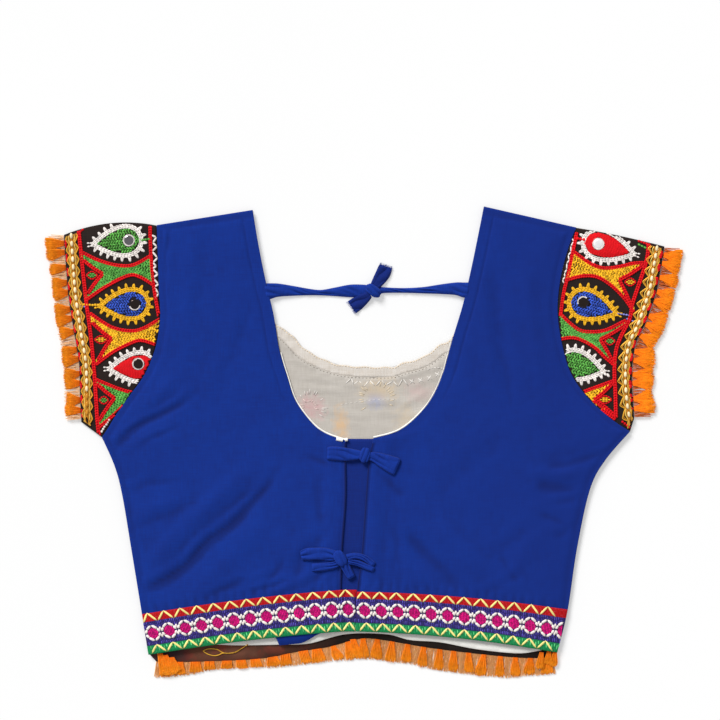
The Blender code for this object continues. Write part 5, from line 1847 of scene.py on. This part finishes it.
def make_lower_layers(left, right, cottons):
    """The front, its lining, the neck edging and the strip under the back opening."""
    outline = front_outline(left, right)
    level = plain_height(SOLID_WALL)
    front = lay_cloth("front", "dark_cloth", outline, 7.0, level, SOLID_WALL, cottons["front"])
    neck = neck_line(EDGING_WIDTH + GAP)[::-1]
    outline = np.concatenate([inset_edge(left), even_path(LINING_HEM, 60), inset_edge(right)[::-1], neck])
    lining = lay_cloth("front_lining", "lining", outline, 2.6, lining_height, THIN_CLOTH, cottons["lining"])
    outline = np.concatenate([neck_line(0.0, EDGING_WAVE, 200), neck_line(EDGING_WIDTH, 0.0, 200)[::-1]])
    edging = lay_cloth("front_neck_edging", "edging", outline, 1.6, edging_height, THIN_CLOTH,
                       cottons["edging"])
    rows = spline(PLACKET_ROWS, np.linspace(0, 4, 60))
    outline = np.concatenate([rows[:, [1, 0]], rows[::-1][:, [2, 0]]])
    level = plain_height(BACK_BASE + THIN_SOLID_WALL)
    lay_cloth("placket", "blue_cloth", outline, 3.0, level, THIN_CLOTH, cottons["placket"])
    return front, lining, edging


def sew_lining(lining, edging, material):
    """The stitches that show on the lining and its edging."""
    stitches = Stitches(Ground(lining, edging), 41)
    seam, rim = neck_line(EDGING_WIDTH + 0.9, 0.0, 300), neck_line(0.9, EDGING_WAVE, 300)
    stitches.row(seam, 3.1, 0.5, srgb(128, 116, 106), overlap=0.55, high=0.3, fade=0.3)
    stitches.row(rim, 2.4, 0.8, srgb(236, 212, 176), overlap=0.8, high=0.4)
    faint, pink, sand = srgb(226, 221, 215), srgb(210, 188, 182), srgb(218, 200, 172)
    stitches.zigzag(np.array([(-16, 53), (12, 51), (38, 52.4)]), 2.8, 8.2, 1.1, faint, high=0.4)
    for x, y in ((42, 53), (49.5, 54), (57, 56), (64, 59)):
        for lean in (-0.8, 0.8):
            stitches.lay((x, y), lean + 0.2, 7.4, 1.1, faint, high=0.4)
    stitches.row(np.array([(55, 63), (63, 65), (72, 63)]), 3.0, 0.9, faint, high=0.4)
    stitches.row(np.array([(-20, 33), (8, 37), (28, 37.5)]), 4.0, 0.55, faint, overlap=0.8, high=0.3)
    rings = ((-46, 31), 10, 16, srgb(216, 210, 204)), ((-46, 31), 4, 8, pink), ((12, 37), 11, 17, sand)
    for centre, inner, outer, tone in rings:
        for k in range(30):
            turn = 2 * math.pi * k / 30 + stitches.draw.uniform(-0.1, 0.1)
            reach = outer + stitches.draw.uniform(-3, 1.5)
            way = np.array([math.cos(turn), math.sin(turn)])
            if stitches.draw.random() < 0.75 and way[1] > -0.6:
                stitches.between(centre + way * inner, centre + way * reach, 1.0, tone, high=0.14, fade=0.03)
    return hand_over(stitches.make("lining_stitches", material, 5, 3), "lining")


def make_piping(panel, material):
    """The white piping beside the lower neck edge of a panel."""
    strands = Strands(51)
    left = panel.side == "left"
    inner = panel.rows[:, 2:4]
    low = np.argmax(inner[:, 1] < panel.yoke[-1].inner_y + 0.4)
    path = even_path(inner[np.argmax(inner[:, 1] <= PIPING_TOPS[panel.side]):low + 1], PIPING_POINTS)
    way = sideways(path)
    way = way * (1 if way[PIPING_POINTS // 2][0] * panel.places[0, 0, 0] < 0 else -1)
    edge_heights = panel.heights(panel.places)[:, -1]
    heights = np.interp(path[:, 1][::-1], panel.rows[:, 3][::-1], edge_heights[::-1])[::-1]
    thin, full = (0.62, 1.0) if left else (0.4, 0.95)
    share = np.linspace(0, 1, PIPING_POINTS)
    thick = PIPING_RADIUS * (thin + (full - thin) * smooth((share - 0.35) / 0.4))
    strands.add(np.column_stack([path + way * (GAP + PIPING_RADIUS), heights + 0.75]), thick, WHITE_TONE)
    for tab in PIPING_TABS if left else ():
        strands.add([(*place, heights[-1] + 1.0) for place in tab], 1.5, WHITE_TONE)
    name = f"neck_piping_{panel.side}"
    hand_over(strands.make(name + "_cord", material, 8), "piping", name)


def make_ribbons(left, right, backs, ribbon, thread):
    """Both runs of the woven ribbon with their raised threads."""
    grids = (left.ribbon_grid(right), right.ribbon_grid()[:, ::-1])
    for side, grid, repeats in zip(("left", "right"), grids, RIBBON_REPEATS):
        band = Band(grid)
        cloth = make_ribbon(f"hem_border_{side}_cloth", grid, band, ribbon)
        hand_over(cloth, "ribbon", f"hem_border_{side}")
        drop = float(lengths(np.diff(grid, axis=0)).sum(0).max())
        grid_area(grid[..., :2])
        stitches = Stitches(Ground(cloth, backs[side]), 61)
        pitch = band.length / repeats
        for k in range(-1, math.ceil(repeats) + 1):
            ribbon_repeat(stitches, band, pitch, (k + 0.5) * pitch)
        hand_over(stitches.make(f"hem_border_{side}_threads", thread), "ribbon")


def make_loose_threads(ground, material):
    """The two yellow threads that hang loose at the left of the hem."""
    strands = Strands(71)
    tone = srgb(222, 172, 56)
    shared = ((-116.5, -180.7), (-110.1, -179.9), (-104.7, -176.9), (-98.9, -172.9))
    routes = (
        ((-137.5, -178.7), (-134.6, -177.2), (-130.5, -176.7), (-125.1, -177.5), (-120.8, -180.0), *shared),
        ((-137.5, -178.7), (-133.7, -181.2), (-128.4, -182.7), (-124.1, -182.1), (-120.8, -180.6), *shared),
    )
    for route in routes:
        flat = even_path(spline(route, np.linspace(0, len(route) - 1, 90)), 60)
        path = [(x, y, ground.height(x, y, missing=0.0) + 0.5) for x, y in flat]
        strands.add(path, 0.4, tone)
    return hand_over(strands.make("hem_loose_threads", material, 6), "floss")


def make_sleeves(sleeves, thread, gold, pearl, floss, glasses, cotton):
    """Both sleeves with their embroidery, mirrors, braids and fringes."""
    for sleeve in sleeves:
        side = sleeve.side
        cloth = sleeve.cloth(cotton)
        hand_over(cloth, "sleeve_work", f"sleeve_{side}")
        girth = 2 * path_length(sleeve.armhole) * MM
        rounds = np.linspace(0, 1, 60)
        area = 2 * grid_area(np.stack([sleeve.place(rounds, t) for t in np.linspace(0, 1, 12)]))
        ground = Ground(cloth)
        hand_over(embroider(sleeve, ground, thread), "sleeve_work")
        rings = Stitches(ground, 81)
        mirrored = [drop for drop in sleeve.drops if drop.mirror_x is not None]
        painted_highlight_side = -1.5 if side == "left" else 2.2
        for number, drop in enumerate(mirrored, 1):
            name = f"mirror_{side}_{number}"
            disc = make_mirror(name + "_glass", drop, ground, glasses[drop.glass], rings, painted_highlight_side)
            hand_over(disc, "mirror", name)
        hand_over(rings.make(f"mirror_{side}_rings", thread), "sleeve_work")
        hand_over(make_braid(sleeve, ground, gold), "gold_braid", f"braid_{side}")
        hand_over(make_braid_knots(sleeve, ground, pearl), "gold_braid")
        for layer, base, high, seed, count in (("upper", 1.7, 0.8, 91, 110), ("lower", 0.2, 0.7, 92, 50)):
            name = f"fringe_{side}_{layer}"
            fringe = make_cuff_fringe(sleeve, name + "_locks", base, high, floss, seed, count)
            hand_over(fringe, "floss", name)


def make_ties(ground, cotton, cut_end, floss):
    """The tied band across the neck and both bows."""
    for name, stations in TIES.items():
        make_tie(name, stations, ground, cut_end if name in FRAYED_TIES else cotton)
    for name, knot in KNOTS.items():
        make_knot(name, knot, ground, cotton)
    strands = Strands(95)
    for name in FRAYED_TIES:
        fray(strands, TIES[name])
    hand_over(strands.make("neck_tail_frays", floss, 3), "blue_cloth")


def make_floor():
    """A plain pale floor."""
    mesh = bpy.data.meshes.new("floor")
    corners = [(x, y, -FLOOR_GAP) for y in (-FLOOR_HALF, FLOOR_HALF) for x in (-FLOOR_HALF, FLOOR_HALF)]
    mesh.from_pydata(corners, [], [(0, 1, 3, 2)])
    finish = Finish("pale_floor", 0.9, specular=0.0)
    finish.set(Emission_Color=(1, 1, 1, 1), Emission_Strength=0.36)
    grain = finish.speckle(finish.place(), 3.0)
    mesh.materials.append(finish.end(finish.blend(grain, (0.60, 0.60, 0.60, 1), (0.62, 0.62, 0.62, 1))))
    put("floor", mesh)


def make_light():
    """Plain studio light: an even white surround and one large soft lamp from the upper left."""
    world = bpy.data.worlds.new("studio")
    world.use_nodes = True
    surround = world.node_tree.nodes["Background"].inputs
    surround["Color"].default_value = (1, 1, 1, 1)
    surround["Strength"].default_value = 0.46
    bpy.context.scene.world = world
    lamp = bpy.data.lights.new("soft_lamp", "SUN")
    lamp.energy = 3.3
    lamp.angle = math.radians(24)
    holder = put("soft_lamp", lamp)
    holder.rotation_euler = (math.radians(-43.5), math.radians(-39.8), 0)


def make_camera():
    """A long lens straight above the blouse, framed as in the photograph."""
    camera = bpy.data.cameras.new("camera")
    camera.sensor_width = SENSOR
    camera.lens = SENSOR * CAMERA_HEIGHT / VIEW_WIDTH
    camera.clip_end = 40.0
    holder = put("camera", camera)
    holder.location = (VIEW_MIDDLE[0] * MM, VIEW_MIDDLE[1] * MM, CAMERA_HEIGHT * MM)
    bpy.context.scene.camera = holder
    bpy.context.scene.view_settings.view_transform = "Standard"


def main():
    """Dresses the whole blouse."""
    make_floor()
    make_light()
    make_camera()
    cottons = {
        "front": front_cotton(),
        "lining": lining_cotton(),
        "edging": plain_cotton("edging_cotton", EDGING_TONE, EDGING_SHADE, 0.4, patch=120.0),
        "placket": plain_cotton("placket_cotton", PLACKET_BLUE, PLACKET_SHADE, 0.25),
    }
    blue = blue_cotton()
    thread = thread_finish("embroidery_thread")
    floss = thread_finish("orange_floss", 0.8, 0.9, 0.0, 400.0, 0.1)
    gold = thread_finish("gold_cord", 0.4, 0.0, 0.35, 700.0, 0.3)
    pearl = thread_finish("pearly_cord", 0.25, 0.0, 0.0, 700.0, 0.2)
    piping = thread_finish("white_piping", 0.7, 0.0, 0.0, 500.0, 0.15)
    left = Panel("left", LEFT_YOKE, LEFT_BODY, True)
    right = Panel("right", RIGHT_YOKE, RIGHT_BODY, False)
    front, lining, edging = make_lower_layers(left, right, cottons)
    sew_lining(lining, edging, thread)
    backs = {}
    for panel in (left, right):
        cloth = panel.cloth(blue)
        hand_over(cloth, "blue_cloth", f"back_{panel.side}")
        grid_area(panel.flat)
        backs[panel.side] = cloth
        make_piping(panel, piping)
    make_ribbons(left, right, backs, ribbon_weave(), thread)
    # Painted reflections: each mirror's tone stands for what it reflects, dark, grey or white; the white one
    # is nearly a plain pale disc.
    glasses = {
        "dark": mirror_glass("dark_mirror", srgb(70, 60, 56), 0.12),
        "grey": mirror_glass("grey_mirror", srgb(150, 146, 152), 0.16),
        "bright": mirror_glass("bright_mirror", (1.0, 1.0, 1.0, 1.0), 0.4, 0.1),
    }
    sleeves = (Sleeve("left", LEFT_YOKE), Sleeve("right", RIGHT_YOKE))
    sleeve_cotton = plain_cotton("sleeve_cotton", srgb(46, 34, 30), srgb(30, 22, 20), 0.4, pitch=0.0005)
    make_sleeves(sleeves, thread, gold, pearl, floss, glasses, sleeve_cotton)
    hem = even_path(FRONT_HEM, 240)
    for side, half, seed in (("left", hem[:120], 93), ("right", hem[120:], 94)):
        fringe = make_hem_fringe(f"hem_fringe_{side}_tassels", half, floss, seed)
        hand_over(fringe, "floss", f"hem_fringe_{side}")
    tie_cotton = plain_cotton("tie_cotton", srgb(12, 56, 158), srgb(12, 40, 124), 0.3, patch=60.0)
    cut_end_cotton = plain_cotton("cut_end_cotton", srgb(10, 40, 126), srgb(10, 28, 94), 0.3, patch=60.0)
    make_ties(Ground(*backs.values()), tie_cotton, cut_end_cotton, thread)
    make_loose_threads(Ground(front, lining, *backs.values()), floss)


main()
